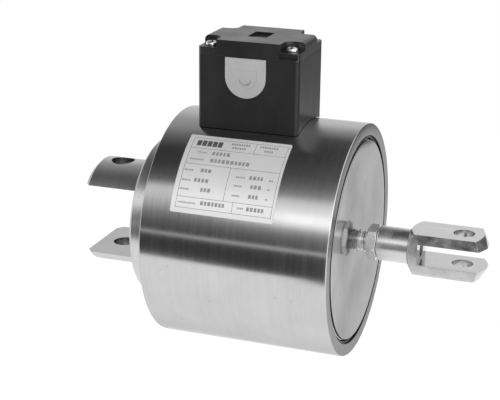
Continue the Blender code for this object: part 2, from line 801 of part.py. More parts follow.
def lead_path(side):
    """Centre line of one coil lead, from the winding up to its clamp."""
    start_x = BOX_MID_X + 1.6 * side
    end_x = BOX_MID_X + 7.0 * side
    middle_x = (start_x + end_x) / 2
    clamp_z = BOX_FLOOR + 0.3 + 6.3 + 2.2
    return [
        (start_x, LEAD_HOLE_Y, 58.4),
        (start_x, LEAD_HOLE_Y, 66.0),
        (start_x, LEAD_HOLE_Y, 73.5),
        (start_x + 0.4 * side, LEAD_HOLE_Y + 0.6, 76.5),
        (middle_x, LEAD_HOLE_Y + 2.6, 79.2),
        (end_x - 0.5 * side, LEAD_HOLE_Y + 5.4, clamp_z),
        (end_x, 1.4, clamp_z),
        (end_x, 3.6, clamp_z),
    ]


def tube_along(name, path, radius, surface, sides=8):
    """A closed round wire that follows a path."""
    points = []
    for index, spot in enumerate(path):
        before = path[max(index - 1, 0)]
        after = path[min(index + 1, len(path) - 1)]
        heading = [b - a for a, b in zip(before, after)]
        size = math.sqrt(sum(value * value for value in heading))
        heading = [value / size for value in heading]
        first = (1.0, 0.0, 0.0)
        dot = sum(a * b for a, b in zip(first, heading))
        first = [a - dot * b for a, b in zip(first, heading)]
        size = math.sqrt(sum(value * value for value in first))
        first = [value / size for value in first]
        second = (
            heading[1] * first[2] - heading[2] * first[1],
            heading[2] * first[0] - heading[0] * first[2],
            heading[0] * first[1] - heading[1] * first[0],
        )
        for step in range(sides):
            angle = 2 * math.pi * step / sides
            across = radius * math.cos(angle)
            upward = radius * math.sin(angle)
            points.append([c + across * a + upward * b for c, a, b in zip(spot, first, second)])
    faces = [list(range(sides)), list(range(len(points) - sides, len(points)))]
    for index in range(len(path) - 1):
        for step in range(sides):
            following = (step + 1) % sides
            low = index * sides
            high = low + sides
            faces.append([low + step, low + following, high + following, high + step])
    return mesh_object(name, points, faces, surface)


def lead_wires():
    """The two insulated coil leads."""
    for index, side in enumerate((-1, 1)):
        tube_along("lead_wire_%d" % (index + 1), lead_path(side), 1.0, black_rubber())


def build():
    """Make every piece of the solenoid."""
    clear_scene()
    housing_shell()
    rear_clevis()
    rear_screws()
    front_cover()
    retaining_ring()
    cover_seal()
    front_bush()
    flux_ring()
    guide_tube()
    bobbin()
    winding()
    winding_wrap()
    armature()
    anti_stick_disc()
    armature_rod()
    lock_nut()
    fork_head()
    rating_plate()
    base_gasket()
    terminal_box()
    cable_entry_insert()
    lid_gasket()
    box_lid()
    lid_screws()
    terminal_block()
    terminal_clamps()
    floor_screws()
    lead_grommet()
    lead_wires()


build()
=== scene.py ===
"""Looks of the direct current pull solenoid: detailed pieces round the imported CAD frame.

Sizes are in millimetres and become metres as each mesh is made.
X runs along the rod towards the fork head and Z points up to the terminal box.
"""

import math
import random

import bmesh
import bpy
from mathutils import Matrix, Vector


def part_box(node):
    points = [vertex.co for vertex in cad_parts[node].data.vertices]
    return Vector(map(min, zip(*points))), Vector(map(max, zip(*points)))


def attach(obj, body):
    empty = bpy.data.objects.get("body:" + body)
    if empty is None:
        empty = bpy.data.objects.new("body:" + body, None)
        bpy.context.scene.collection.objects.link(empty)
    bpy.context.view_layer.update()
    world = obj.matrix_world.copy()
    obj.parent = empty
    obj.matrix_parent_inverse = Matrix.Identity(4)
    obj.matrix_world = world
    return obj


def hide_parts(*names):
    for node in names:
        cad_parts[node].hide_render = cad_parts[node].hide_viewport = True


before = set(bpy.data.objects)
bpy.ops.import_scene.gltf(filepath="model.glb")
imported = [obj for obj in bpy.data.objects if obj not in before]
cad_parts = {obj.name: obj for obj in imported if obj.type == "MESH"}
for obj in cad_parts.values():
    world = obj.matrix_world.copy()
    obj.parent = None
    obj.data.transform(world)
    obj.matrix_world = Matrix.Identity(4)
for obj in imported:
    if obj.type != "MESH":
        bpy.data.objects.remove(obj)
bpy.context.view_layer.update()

MM = 0.001


def cad_range(node):
    """Lowest and highest corner of a CAD node in millimetres."""
    low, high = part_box(node)
    return low / MM, high / MM


# Places taken from the frame
SHELL_LOW, SHELL_HIGH = cad_range("housing_shell")
CLEVIS_LOW, CLEVIS_HIGH = cad_range("rear_clevis")
COVER_LOW = cad_range("front_cover")[0]
NUT_LOW, NUT_HIGH = cad_range("lock_nut")
FORK_LOW, FORK_HIGH = cad_range("fork_head")
ROD_LOW, ROD_HIGH = cad_range("armature_rod")
BOX_LOW, BOX_HIGH = cad_range("terminal_box")
LID_LOW, LID_HIGH = cad_range("box_lid")
INSERT_LOW, INSERT_HIGH = cad_range("cable_entry_insert")
PLATE_LOW, PLATE_HIGH = cad_range("rating_plate")

HOUSING_RADIUS = SHELL_HIGH.z
HOUSING_REAR = SHELL_LOW.x
HOUSING_FRONT = SHELL_HIGH.x
HOUSING_BORE = 60.4
REAR_WALL_END = 30.0
RING_GROOVE_REAR = 121.0
RING_GROOVE_FRONT = 123.0
RING_GROOVE_RADIUS = 61.9
COVER_RADIUS = 58.6
COVER_SEAT_RADIUS = 60.1
SEAL_GROOVE_REAR = 116.0
SEAL_GROOVE_FRONT = 119.0
SEAL_GROOVE_RADIUS = 57.3
BUSH_SEAT_FRONT = 122.2
BUSH_SEAT_RADIUS = 9.6
COVER_BORE = 6.15

EAR_TIP = CLEVIS_LOW.x
EAR_RADIUS = 31.5
EAR_GAP_HALF = 21.0
EAR_HOLE_X = -24.5
EAR_HOLE_RADIUS = 7.0
BOSS_RADIUS = CLEVIS_HIGH.z
POLE_RADIUS = 32.0
POLE_RECESS_RADIUS = 7.0
POLE_RECESS_DEPTH = 5.0
COUNTERBORE_RADIUS = 5.4
COUNTERBORE_DEPTH = 6.6
CLEARANCE_RADIUS = 3.4
REAR_SCREW_CIRCLE = 40.0
REAR_SCREW_ANGLES = (45, 135, 225, 315)

THREAD_RADIUS = 6.0
THREAD_PITCH = 1.75
RELIEF_RADIUS = 5.15
THREAD_START = 124.9
ROD_ROOT_RADIUS = 8.0
ROD_STEP = 107.4
ROD_END_RADIUS = 5.6
TAPPED_RADIUS = 5.9

NUT_ACROSS_FLATS = 18.0
NUT_TURN = 8.0

FORK_HALF = FORK_HIGH.z
FORK_SLOT_HALF = 6.0
FORK_SLOT_FLOOR = 160.3
FORK_SQUARE_START = 154.0
FORK_NECK_RADIUS = 10.0
FORK_CORNER_RADIUS = 17.2
FORK_NOSE_START = 192.3
FORK_NOSE_RADIUS = 7.2
FORK_HOLE_X = 184.0
FORK_HOLE_RADIUS = 6.0

BOX_MID_X = (BOX_LOW.x + BOX_HIGH.x) / 2
BOX_HALF_X = (BOX_HIGH.x - BOX_LOW.x) / 2
BOX_HALF_Y = BOX_HIGH.y
BOX_WALL = 2.6
BOX_CORNER = 2.5
BOX_SADDLE = 67.8
GASKET_SEAT = 68.6
GASKET_INSET = 0.9
GASKET_HALF_TURN = 17.5
BOX_FLOOR = 71.5
SCREW_INSET = 6.2
SCREW_SEAT = 110.2
SCREW_HOLE_RADIUS = 1.8
SCREW_HOLE_END = 92.0
SCREW_END = 95.0
FLOOR_HOLE_RADIUS = 2.5
FIXING_SCREW_OFF = 21.5
EARTH_SCREW_OFF = (-15.0, -10.0)
POST_RADIUS = 4.3
LID_POST_RADIUS = 7.0
POCKET_RADIUS = 4.8
LID_BOTTOM = 106.1
LID_PLATE = 2.5
LID_EDGE = 2.8
LID_SKIRT = 0.7
LID_RECESS_HALF_X = 5.6
LID_RECESS_HALF_Y = 7.4
LID_RECESS_DEPTH = 1.8
INSERT_HALF = (INSERT_HIGH.x - INSERT_LOW.x) / 2
INSERT_MID_X = (INSERT_HIGH.x + INSERT_LOW.x) / 2
INSERT_CENTRE_Z = INSERT_LOW.z + INSERT_HALF
LEAD_HOLE_Y = -6.0
LEAD_HOLE_RADIUS = 5.5

PLATE_TOP_ANGLE = 25.6
PLATE_BOTTOM_ANGLE = 67.2
PLATE_RADIUS = HOUSING_RADIUS + 0.45
PLATE_LENGTH = PLATE_HIGH.x - PLATE_LOW.x
PLATE_DEPTH = PLATE_RADIUS * math.radians(PLATE_BOTTOM_ANGLE - PLATE_TOP_ANGLE)

# How far a cutting tool reaches past the surface that it cuts
PAST = 5.0


# ---------------------------------------------------------------- mesh helpers


def link_mesh(name, points, faces):
    """Make one mesh object from points in millimetres, with its faces turned outwards."""
    mesh = bpy.data.meshes.new(name)
    mesh.from_pydata([[value * MM for value in point] for point in points], [], faces)
    work = bmesh.new()
    work.from_mesh(mesh)
    bmesh.ops.remove_doubles(work, verts=work.verts, dist=1e-7)
    bmesh.ops.recalc_face_normals(work, faces=work.faces)
    work.to_mesh(mesh)
    work.free()
    obj = bpy.data.objects.new(name, mesh)
    bpy.context.scene.collection.objects.link(obj)
    return obj


def shade(obj, angle=35):
    """Smooth shading that keeps crisp edges."""
    for face in obj.data.polygons:
        face.use_smooth = True
    obj.data.set_sharp_from_angle(angle=math.radians(angle))
    return obj


def rounded(profile, radius, steps=2):
    """Round every corner of a closed profile with a short curve of about the given radius."""
    made = []
    for index, point in enumerate(profile):
        here = Vector(point)
        before = Vector(profile[index - 1])
        after = Vector(profile[(index + 1) % len(profile)])
        reach_in = min(radius, (before - here).length * 0.45)
        reach_out = min(radius, (after - here).length * 0.45)
        start = here + (before - here).normalized() * reach_in
        end = here + (after - here).normalized() * reach_out
        for step in range(steps + 1):
            share = step / steps
            rest = 1 - share
            made.append(tuple(start * rest ** 2 + here * 2 * share * rest + end * share ** 2))
    return made


def place(axis, along, radius, angle):
    """Turn a distance along an axis, a radius and an angle into a point."""
    if axis == "X":
        return (along, -radius * math.sin(angle), radius * math.cos(angle))
    return (radius * math.cos(angle), radius * math.sin(angle), along)


def revolve(name, profile, segments=96, axis="X", centre=(0.0, 0.0, 0.0), turn=None):
    """Revolve (along, radius) pairs into a closed solid, for a whole turn or a part of one."""
    ring_shaped = all(radius > 1e-6 for _, radius in profile)
    whole = turn is None
    start, end = (0.0, 360.0) if whole else turn
    count = segments if whole else segments + 1
    points = []
    rows = []
    for along, radius in profile:
        row = []
        for step in range(count):
            if radius < 1e-6 and row:
                row.append(row[0])
                continue
            angle = math.radians(start + (end - start) * step / segments)
            spot = place(axis, along, radius, angle)
            row.append(len(points))
            points.append([value + shift for value, shift in zip(spot, centre)])
        rows.append(row)
    faces = []
    pairs = list(zip(rows, rows[1:]))
    if ring_shaped:
        pairs.append((rows[-1], rows[0]))
    for first, second in pairs:
        for step in range(segments):
            following = (step + 1) % count
            corners = [first[step], first[following], second[following], second[step]]
            unique = list(dict.fromkeys(corners))
            if len(unique) > 2:
                faces.append(unique)
    if not whole:
        faces.append([row[0] for row in rows])
        faces.append([row[-1] for row in rows])
    return link_mesh(name, points, faces)


def prism(name, outline, low, high, axis="Z"):
    """Extrude an outline between two levels of the axis that it lies across."""
    points = []
    for level in (low, high):
        for pair in outline:
            point = list(pair)
            point.insert("XYZ".index(axis), level)
            points.append(point)
    count = len(outline)
    faces = [list(range(count)), list(range(count, 2 * count))]
    for step in range(count):
        following = (step + 1) % count
        faces.append([step, following, count + following, count + step])
    return link_mesh(name, points, faces)


def block(name, low, high):
    """A rectangular block between two opposite corners."""
    outline = [(low[0], low[1]), (high[0], low[1]), (high[0], high[1]), (low[0], high[1])]
    return prism(name, outline, low[2], high[2])


def round_tool(x_mid, y_mid, radius, low, high, segments=40):
    """A vertical round tool."""
    profile = [(low, 0.0), (low, radius), (high, radius), (high, 0.0)]
    return revolve("round_tool", profile, segments, "Z", (x_mid, y_mid, 0.0))


def arc(centre, radius, start, end, steps):
    """Points along an arc, angles in degrees."""
    made = []
    for step in range(steps + 1):
        angle = math.radians(start + (end - start) * step / steps)
        made.append((centre[0] + radius * math.cos(angle), centre[1] + radius * math.sin(angle)))
    return made


def hexagon(across_flats, turn=0.0, centre=(0.0, 0.0)):
    """Outline of a hexagon, turned by an angle in degrees."""
    return arc(centre, across_flats / 2 / math.cos(math.radians(30)), turn, turn + 300, 5)


def bake(obj):
    """Replace an object's mesh by the result of its modifiers."""
    graph = bpy.context.evaluated_depsgraph_get()
    made = bpy.data.meshes.new_from_object(obj.evaluated_get(graph))
    obj.modifiers.clear()
    obj.data = made
    return obj


def carve(obj, tools, operation="DIFFERENCE"):
    """Cut an object with tool shapes, one after another, and remove the tools."""
    for tool in tools:
        step = obj.modifiers.new("carve", "BOOLEAN")
        step.operation = operation
        step.solver = "EXACT"
        step.object = tool
        bake(obj)
        bpy.data.objects.remove(tool, do_unlink=True)
    return obj


def soften(obj, width, segments=2):
    """Bevel the sharp edges a little, so that they catch the light."""
    work = bmesh.new()
    work.from_mesh(obj.data)
    bmesh.ops.remove_doubles(work, verts=work.verts, dist=2e-6)
    bmesh.ops.dissolve_limit(
        work, angle_limit=math.radians(0.5), verts=work.verts, edges=work.edges
    )
    work.to_mesh(obj.data)
    work.free()
    step = obj.modifiers.new("bevel", "BEVEL")
    step.width = width * MM
    step.segments = segments
    step.limit_method = "ANGLE"
    step.angle_limit = math.radians(32)
    step.use_clamp_overlap = True
    step.miter_outer = "MITER_ARC"
    bake(obj)
    return shade(obj, 40)


def weigh(obj):
    """Keep large flat faces flat in shading."""
    step = obj.modifiers.new("weighted", "WEIGHTED_NORMAL")
    step.keep_sharp = True
    return bake(obj)


def dress(obj, surface, slot, *nodes, body="housing"):
    """Give a piece its material, the CAD nodes that it stands for and its body; the slot is not used."""
    obj.data.materials.clear()
    obj.data.materials.append(surface)
    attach(obj, body)
    if nodes:
        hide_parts(*nodes)
    return obj


# ------------------------------------------------------------ material helpers


def colour(tone):
    """A colour with its alpha; a single number is a grey, and a socket stays a socket."""
    if isinstance(tone, float):
        return (tone, tone, tone, 1.0)
    return (*tone, 1.0) if isinstance(tone, tuple) else tone


class Graph:
    """A short way to write a node tree, where an input is a socket to link or a constant."""

    def __init__(self, node_tree):
        self.nodes = node_tree.nodes
        self.links = node_tree.links

    def add(self, kind, inputs=None, **settings):
        """One shader node with its settings and inputs."""
        node = self.nodes.new("ShaderNode" + kind)
        for key, value in settings.items():
            setattr(node, key, value)
        for key, value in (inputs or {}).items():
            if isinstance(value, bpy.types.NodeSocket):
                self.links.new(value, node.inputs[key])
            else:
                node.inputs[key].default_value = value
        return node

    def math(self, operation, first, second):
        """One Math node."""
        return self.add("Math", {0: first, 1: second}, operation=operation).outputs[0]

    def merge(self, first, second, share=0.6):
        """A share of one value and the rest of another."""
        rest = self.math("MULTIPLY", second, 1.0 - share)
        return self.math("ADD", self.math("MULTIPLY", first, share), rest)

    def spread(self, value, low, high, start=0.0, end=1.0, **settings):
        """Map a value from low..high to start..end, clamped."""
        inputs = {"Value": value, "From Min": low, "From Max": high, "To Min": start, "To Max": end}
        return self.add("MapRange", inputs, **settings).outputs["Result"]

    def blend(self, value, first, second):
        """From one colour to another as a value goes from 0 to 1."""
        inputs = {"Factor": value, 6: colour(first), 7: colour(second)}
        return self.add("Mix", inputs, data_type="RGBA").outputs[2]


class Surface(Graph):
    """A material whose patterns lie in the object's own coordinates."""

    def __init__(self, name):
        self.material = bpy.data.materials.new(name)
        self.material.use_nodes = True
        super().__init__(self.material.node_tree)
        self.shader = self.nodes["Principled BSDF"]
        self.place = self.add("TexCoord").outputs["Object"]

    def set(self, **values):
        """Set constant values on the shader's own sockets."""
        for key, value in values.items():
            name = key.replace("_", " ").title().replace("Ior", "IOR")
            tinted = name in ("Specular Tint", "Emission Color")
            self.shader.inputs[name].default_value = colour(value) if tinted else value
        return self

    def feed(self, name, socket):
        """Link a socket to a shader input."""
        self.links.new(socket, self.shader.inputs[name])

    def noise(self, scale, detail, rough, stretch=(1, 1, 1)):
        """Noise between 0 and 1; scale is in features per metre, times the stretch of each axis."""
        spot = self.add("Mapping", {"Vector": self.place, "Scale": stretch}).outputs["Vector"]
        inputs = {"Vector": spot, "Scale": scale, "Detail": detail, "Roughness": rough}
        return self.add("TexNoise", inputs).outputs["Fac"]

    def vary(self, noise, start=0.0, end=1.0):
        """From start to end over the middle range of a noise, where most of it lies."""
        return self.spread(noise, 0.3, 0.7, start, end)

    def waves(self, scale, distortion, detail, **settings):
        """Regular waves between 0 and 1."""
        inputs = {"Vector": self.place, "Scale": scale, "Distortion": distortion, "Detail": detail}
        return self.add("TexWave", inputs, **settings).outputs["Fac"]

    def bump(self, value, strength, depth=0.00002):
        """Bump from a height value; depth is in metres."""
        inputs = {"Height": value, "Strength": strength, "Distance": depth}
        return self.add("Bump", inputs).outputs["Normal"]

    def turned(self):
        """Lathe marks round the X axis stretch the reflections across themselves."""
        tangent = self.add("Tangent", direction_type="RADIAL", axis="X").outputs["Tangent"]
        self.feed("Tangent", tangent)
        self.set(anisotropic_rotation=0.25)

    def worn_edge(self, strength):
        """Bright on convex edges, from the surface's own pointiness."""
        pointed = self.add("NewGeometry").outputs["Pointiness"]
        return self.spread(pointed, 0.52, 0.60, 0.0, strength)


def turned_steel(name, tone=0.66, rough=0.24, grain=1.0, stains=0.06, edge_tint=0.8):
    """Bright steel with lathe marks round the X axis and a few dark specks."""
    tree = Surface(name).set(metallic=1.0, anisotropic=0.8, specular_tint=edge_tint)
    marks = tree.noise(900.0, 4.0, 0.7, (1, 0.012, 0.012))
    fine = tree.noise(5200.0, 2.0, 0.6, (1, 0.006, 0.006))
    cloud = tree.noise(38.0, 4.0, 0.6)
    mixed = tree.merge(marks, fine)
    tree.feed("Normal", tree.bump(mixed, 0.25 * grain))
    tree.feed("Roughness", tree.spread(mixed, 0.25, 0.75, rough - 0.05, rough + 0.08))
    stained = tree.vary(tree.merge(cloud, marks))
    skin = tree.blend(stained, tone - stains, tone + stains / 2)
    specks = tree.spread(tree.noise(330.0, 1.0, 0.4), 0.765, 0.80, 0.0, 0.45)
    tree.feed("Base Color", tree.blend(specks, skin, 0.15))
    tree.turned()
    return tree.material


def polished_disc():
    """Fine ground steel with a near mirror finish and faint rings."""
    tree = Surface("ground_disc_steel").set(metallic=1.0, anisotropic=0.3, specular_tint=0.6)
    cloud = tree.noise(30.0, 3.0, 0.5)
    rings = tree.waves(160.0, 3.0, 2.0, wave_type="RINGS", rings_direction="X")
    tree.feed("Normal", tree.bump(rings, 0.02))
    tree.feed("Roughness", tree.vary(cloud, 0.09, 0.15))
    tree.feed("Base Color", tree.blend(tree.spread(cloud, 0.32, 0.68), 0.42, 0.6))
    tree.turned()
    return tree.material


def plated_steel(name, tone=0.68, rough=0.25, patch=140.0):
    """Zinc plated steel with a cloudy satin skin and brighter edges."""
    tree = Surface(name).set(metallic=1.0)
    cloud = tree.noise(patch, 5.0, 0.6)
    grit = tree.noise(1500.0, 3.0, 0.6)
    tree.feed("Normal", tree.bump(grit, 0.1))
    tree.feed("Roughness", tree.vary(cloud, rough - 0.06, rough + 0.1))
    patches = tree.vary(cloud, 0.0, 0.4)
    body = tree.math("ADD", patches, tree.spread(grit, 0.35, 0.65, -0.45, 0.45))
    lit = tree.math("ADD", body, tree.worn_edge(0.5))
    tree.feed("Base Color", tree.blend(lit, tone - 0.08, tone + 0.12))
    return tree.material


def moulded_plastic(name, tone, rough, light=None, grit_size=1800.0, relief=0.1, gloss=0.3):
    """Moulded plastic with a fine eroded skin, faint flow marks and rubbed edges."""
    tree = Surface(name).set(specular_ior_level=gloss)
    skin = tree.noise(grit_size, 3.0, 0.6)
    flow = tree.noise(45.0, 4.0, 0.6, (1, 1, 0.4))
    tree.feed("Normal", tree.bump(skin, relief, 0.00003))
    tree.feed("Roughness", tree.vary(flow, rough - 0.05, rough + 0.08))
    edge = tree.math("MULTIPLY", tree.worn_edge(0.6), flow)
    lit = tree.math("ADD", tree.vary(flow, 0.0, 0.4), edge)
    tree.feed("Base Color", tree.blend(lit, tone, light or tone * 1.6))
    return tree.material


def simple_metal(name, dark, light, rough, scale=300.0):
    """Metal of the hidden pieces, with a cut grain."""
    tree = Surface(name).set(metallic=1.0)
    grain = tree.noise(scale, 4.0, 0.65, (1, 0.15, 0.15))
    tree.feed("Normal", tree.bump(grain, 0.15, 0.00003))
    tree.feed("Roughness", tree.vary(grain, rough - 0.07, rough + 0.1))
    tree.feed("Base Color", tree.blend(grain, dark, light))
    return tree.material


def soft_skin(name, dark, light, rough, scale=900.0):
    """Rubber, paper or wire covering with a fine uneven skin."""
    tree = Surface(name)
    grain = tree.noise(scale, 4.0, 0.65)
    tree.feed("Normal", tree.bump(grain, 0.2, 0.00003))
    tree.feed("Roughness", tree.vary(grain, rough - 0.08, rough + 0.08))
    tree.feed("Base Color", tree.blend(grain, dark, light))
    return tree.material


def winding_copper():
    """Enamelled copper in close turns round the bobbin."""
    tree = Surface("enamelled_copper").set(metallic=0.9)
    turns = tree.waves(420.0, 0.4, 2.0, bands_direction="X")
    tree.feed("Normal", tree.bump(turns, 0.6, 0.0002))
    tree.feed("Roughness", tree.spread(turns, 0.0, 1.0, 0.3, 0.5))
    tree.feed("Base Color", tree.blend(turns, (0.35, 0.13, 0.06), (0.66, 0.31, 0.16)))
    return tree.material


def plate_foil():
    """Satin aluminium foil with a faint brushed grain along X."""
    tree = Surface("plate_foil_satin").set(metallic=0.3, anisotropic=0.3)
    grain = tree.noise(1500.0, 3.0, 0.6, (0.03, 1, 1))
    cloud = tree.noise(70.0, 4.0, 0.6)
    tree.feed("Normal", tree.bump(grain, 0.05))
    tree.feed("Roughness", tree.vary(cloud, 0.32, 0.42))
    tree.feed("Base Color", tree.blend(cloud, 0.95, 1.0))
    return tree.material


def plate_ink(name, dark, light):
    """Slightly worn print."""
    tree = Surface(name)
    wear = tree.noise(2200.0, 3.0, 0.7)
    tree.feed("Roughness", tree.vary(wear, 0.45, 0.65))
    tree.feed("Base Color", tree.blend(tree.spread(wear, 0.45, 0.7), dark, light))
    return tree.material


STEEL_POT = turned_steel("turned_pot_steel", 0.60, 0.17, edge_tint=0.75)
STEEL_FACED = turned_steel("faced_pot_steel", 0.42, 0.26, 0.8, 0.05, edge_tint=0.55)
STEEL_CLEVIS = turned_steel("turned_clevis_steel", 0.7, 0.32, 1.2, 0.08)
# Darker copies of the plated steel for the walls of the cross holes: painted shade inside the holes.
HOLE_SHADE_STEEL = plated_steel("hole_wall_painted_shade", 0.3, 0.22, 500.0)
FORK_HOLE_SHADE_ZINC = plated_steel("fork_hole_painted_shade", 0.54, 0.18, 500.0)
STEEL_DISC = polished_disc()
STEEL_FORK = plated_steel("fork_zinc", 0.68, 0.17)
STEEL_NECK = plated_steel("neck_zinc", 0.74, 0.3)
STEEL_NUT = plated_steel("nut_zinc", 0.84, 0.2, 260.0)
STEEL_ROD = plated_steel("rod_steel", 0.66, 0.22, 300.0)
STEEL_SCREW = plated_steel("screw_zinc", 0.78, 0.18, 400.0)
# Dark spring steel of the snap ring, also used as painted shade on the groove walls beside it.
SPRING_STEEL_AND_GROOVE_SHADE = simple_metal("blackened_spring_and_groove_shade", 0.05, 0.1, 0.45, 500.0)
SOFT_IRON = simple_metal("machined_soft_iron", 0.28, 0.4, 0.42)
BRASS = simple_metal("satin_brass", (0.6, 0.44, 0.2), (0.82, 0.64, 0.34), 0.32)
COPPER = winding_copper()
BLACK_BODY = moulded_plastic("black_box_plastic", 0.018, 0.34, gloss=0.36)
BLACK_LID = moulded_plastic("black_lid_plastic", 0.012, 0.32, gloss=0.75)
GREY_INSERT = moulded_plastic("grey_insert_plastic", 0.47, 0.5, 0.56, 1200.0, 0.08)
CREAM_PLASTIC = moulded_plastic("cream_moulding", 0.55, 0.45, 0.66)
RUBBER = soft_skin("black_rubber_skin", 0.012, 0.03, 0.75)
PAPER = soft_skin("varnished_paper", (0.42, 0.32, 0.16), (0.62, 0.5, 0.3), 0.6, 400.0)
LEAD_SKIN = soft_skin("lead_insulation", 0.02, 0.045, 0.5)
FOIL = plate_foil()
INK = plate_ink("dark_plate_ink", 0.08, 0.2)
PALE_INK = plate_ink("pale_plate_ink", 0.3, 0.46)


# --------------------------------------------------------------- steel pieces


def set_face_material(piece, surface, chosen):
    """Give the faces that a test chooses a material of their own, which is another finish for some and
    painted shade for others.
    """
    piece.data.materials.append(surface)
    last = len(piece.data.materials) - 1
    for face in piece.data.polygons:
        if chosen(face.center / MM, face.normal):
            face.material_index = last
    return piece


def paint_hole_shade(piece, x_mid, radius, surface):
    """Paint shade on the wall of a vertical cross hole: a darker copy of the steel stands in for the
    shade inside the hole.
    """

    def on_wall(centre, normal):
        return math.hypot(centre.x - x_mid, centre.y) < radius + 0.1 and abs(normal.z) < 0.6

    return set_face_material(piece, surface, on_wall)


def paint_groove_shade(piece, low, high):
    """Paint shade on the groove walls beside the snap ring, between two distances from the axis: the
    dark spring steel stands in for the shade in the narrow gap.
    """

    def in_groove(centre, normal):
        along = RING_GROOVE_REAR - 0.5 < centre.x < HOUSING_FRONT - 0.1
        return along and low < math.hypot(centre.y, centre.z) < high and abs(normal.x) < 0.7

    return set_face_material(piece, SPRING_STEEL_AND_GROOVE_SHADE, in_groove)


def housing_pot():
    """The turned pot with its broken edges, ring groove and rear wall."""
    bore = POLE_RADIUS + 0.3
    edge = 0.5
    profile = [
        (HOUSING_REAR, bore),
        (HOUSING_REAR, HOUSING_RADIUS - edge),
        (HOUSING_REAR + edge, HOUSING_RADIUS),
        (HOUSING_FRONT - edge, HOUSING_RADIUS),
        (HOUSING_FRONT, HOUSING_RADIUS - edge),
        (HOUSING_FRONT, HOUSING_BORE + 0.3),
        (HOUSING_FRONT - 0.3, HOUSING_BORE),
        (RING_GROOVE_FRONT, HOUSING_BORE),
        (RING_GROOVE_FRONT, RING_GROOVE_RADIUS),
        (RING_GROOVE_REAR, RING_GROOVE_RADIUS),
        (RING_GROOVE_REAR, HOUSING_BORE),
        (REAR_WALL_END, HOUSING_BORE),
        (REAR_WALL_END, bore),
    ]
    pot = revolve("housing_pot", rounded(profile, 0.25), 240)
    dress(shade(pot, 50), STEEL_POT, "turned_steel", "housing_shell")
    set_face_material(pot, STEEL_FACED, lambda centre, normal: abs(normal.x) > 0.8)
    # Painted shade on the walls of the ring groove.
    return paint_groove_shade(pot, HOUSING_BORE - 0.5, HOUSING_BORE + 2.0)


def front_disc():
    """The smooth disc in the mouth of the pot."""
    face = COVER_RADIUS - 0.8
    profile = [
        (COVER_LOW.x, BUSH_SEAT_RADIUS),
        (COVER_LOW.x, COVER_SEAT_RADIUS),
        (SEAL_GROOVE_REAR, COVER_SEAT_RADIUS),
        (SEAL_GROOVE_REAR, SEAL_GROOVE_RADIUS),
        (SEAL_GROOVE_FRONT, SEAL_GROOVE_RADIUS),
        (SEAL_GROOVE_FRONT, COVER_SEAT_RADIUS),
        (RING_GROOVE_REAR, COVER_SEAT_RADIUS),
        (RING_GROOVE_REAR, COVER_RADIUS),
        (HOUSING_FRONT - 1.6, COVER_RADIUS),
        (HOUSING_FRONT - 1.3, face),
        (HOUSING_FRONT - 0.3, face),
        (HOUSING_FRONT, face - 0.3),
        (HOUSING_FRONT, COVER_BORE + 0.1),
        (HOUSING_FRONT - 0.1, COVER_BORE),
        (BUSH_SEAT_FRONT, COVER_BORE),
        (BUSH_SEAT_FRONT, BUSH_SEAT_RADIUS),
    ]
    disc = revolve("front_disc", rounded(profile, 0.12), 200)
    dress(shade(disc, 50), STEEL_DISC, "turned_steel", "front_cover")
    # Painted shade on the disc's rim wall inside the ring groove.
    return paint_groove_shade(disc, face - 0.1, COVER_RADIUS + 0.1)


def snap_ring():
    """Open ring in the groove, square in section with broken edges."""
    rear = RING_GROOVE_REAR + 0.3
    front = RING_GROOVE_FRONT - 0.3
    outer = RING_GROOVE_RADIUS - 0.3
    inner = COVER_RADIUS + 0.4
    profile = [(rear, inner), (rear, outer), (front, outer), (front, inner)]
    ring = revolve("snap_ring", rounded(profile, 0.2), 180, turn=(184.0, 536.0))
    return dress(shade(ring), SPRING_STEEL_AND_GROOVE_SHADE, "spring_steel", "retaining_ring")


def rear_screw_spot(angle):
    """Side and height of one rear screw."""
    turn = math.radians(angle)
    return REAR_SCREW_CIRCLE * math.cos(turn), REAR_SCREW_CIRCLE * math.sin(turn)


def clevis():
    """Boss, pole and ears from one turned bar, with milled slot, cross hole and counterbores."""
    chamfer = 3.0
    profile = [
        (EAR_TIP, 0.0),
        (EAR_TIP, EAR_RADIUS - chamfer),
        (EAR_TIP + chamfer, EAR_RADIUS),
        (0.0, EAR_RADIUS),
        (0.0, BOSS_RADIUS - 1.5),
        (1.5, BOSS_RADIUS),
        (HOUSING_REAR - 0.3, BOSS_RADIUS),
        (HOUSING_REAR - 0.3, POLE_RADIUS),
        (CLEVIS_HIGH.x, POLE_RADIUS),
        (CLEVIS_HIGH.x, POLE_RECESS_RADIUS),
        (CLEVIS_HIGH.x - POLE_RECESS_DEPTH, POLE_RECESS_RADIUS),
        (CLEVIS_HIGH.x - POLE_RECESS_DEPTH, 0.0),
    ]
    body = revolve("clevis", profile, 144)
    wide = BOSS_RADIUS + PAST
    slot = block("slot_tool", (EAR_TIP - PAST, -wide, -EAR_GAP_HALF), (0.0, wide, EAR_GAP_HALF))
    tools = [slot, round_tool(EAR_HOLE_X, 0.0, EAR_HOLE_RADIUS, -wide, wide, 64)]
    sink = [
        (-PAST, 0.0),
        (-PAST, COUNTERBORE_RADIUS),
        (COUNTERBORE_DEPTH, COUNTERBORE_RADIUS),
        (COUNTERBORE_DEPTH, CLEARANCE_RADIUS),
        (HOUSING_REAR + PAST, CLEARANCE_RADIUS),
        (HOUSING_REAR + PAST, 0.0),
    ]
    for angle in REAR_SCREW_ANGLES:
        tools.append(revolve("sink_tool", sink, 48, "X", (0.0, *rear_screw_spot(angle))))
    carve(body, tools)
    soften(body, 0.35)
    dress(weigh(body), STEEL_CLEVIS, "turned_steel", "rear_clevis")
    # Painted shade on the walls of the ear hole.
    return paint_hole_shade(body, EAR_HOLE_X, EAR_HOLE_RADIUS, HOLE_SHADE_STEEL)


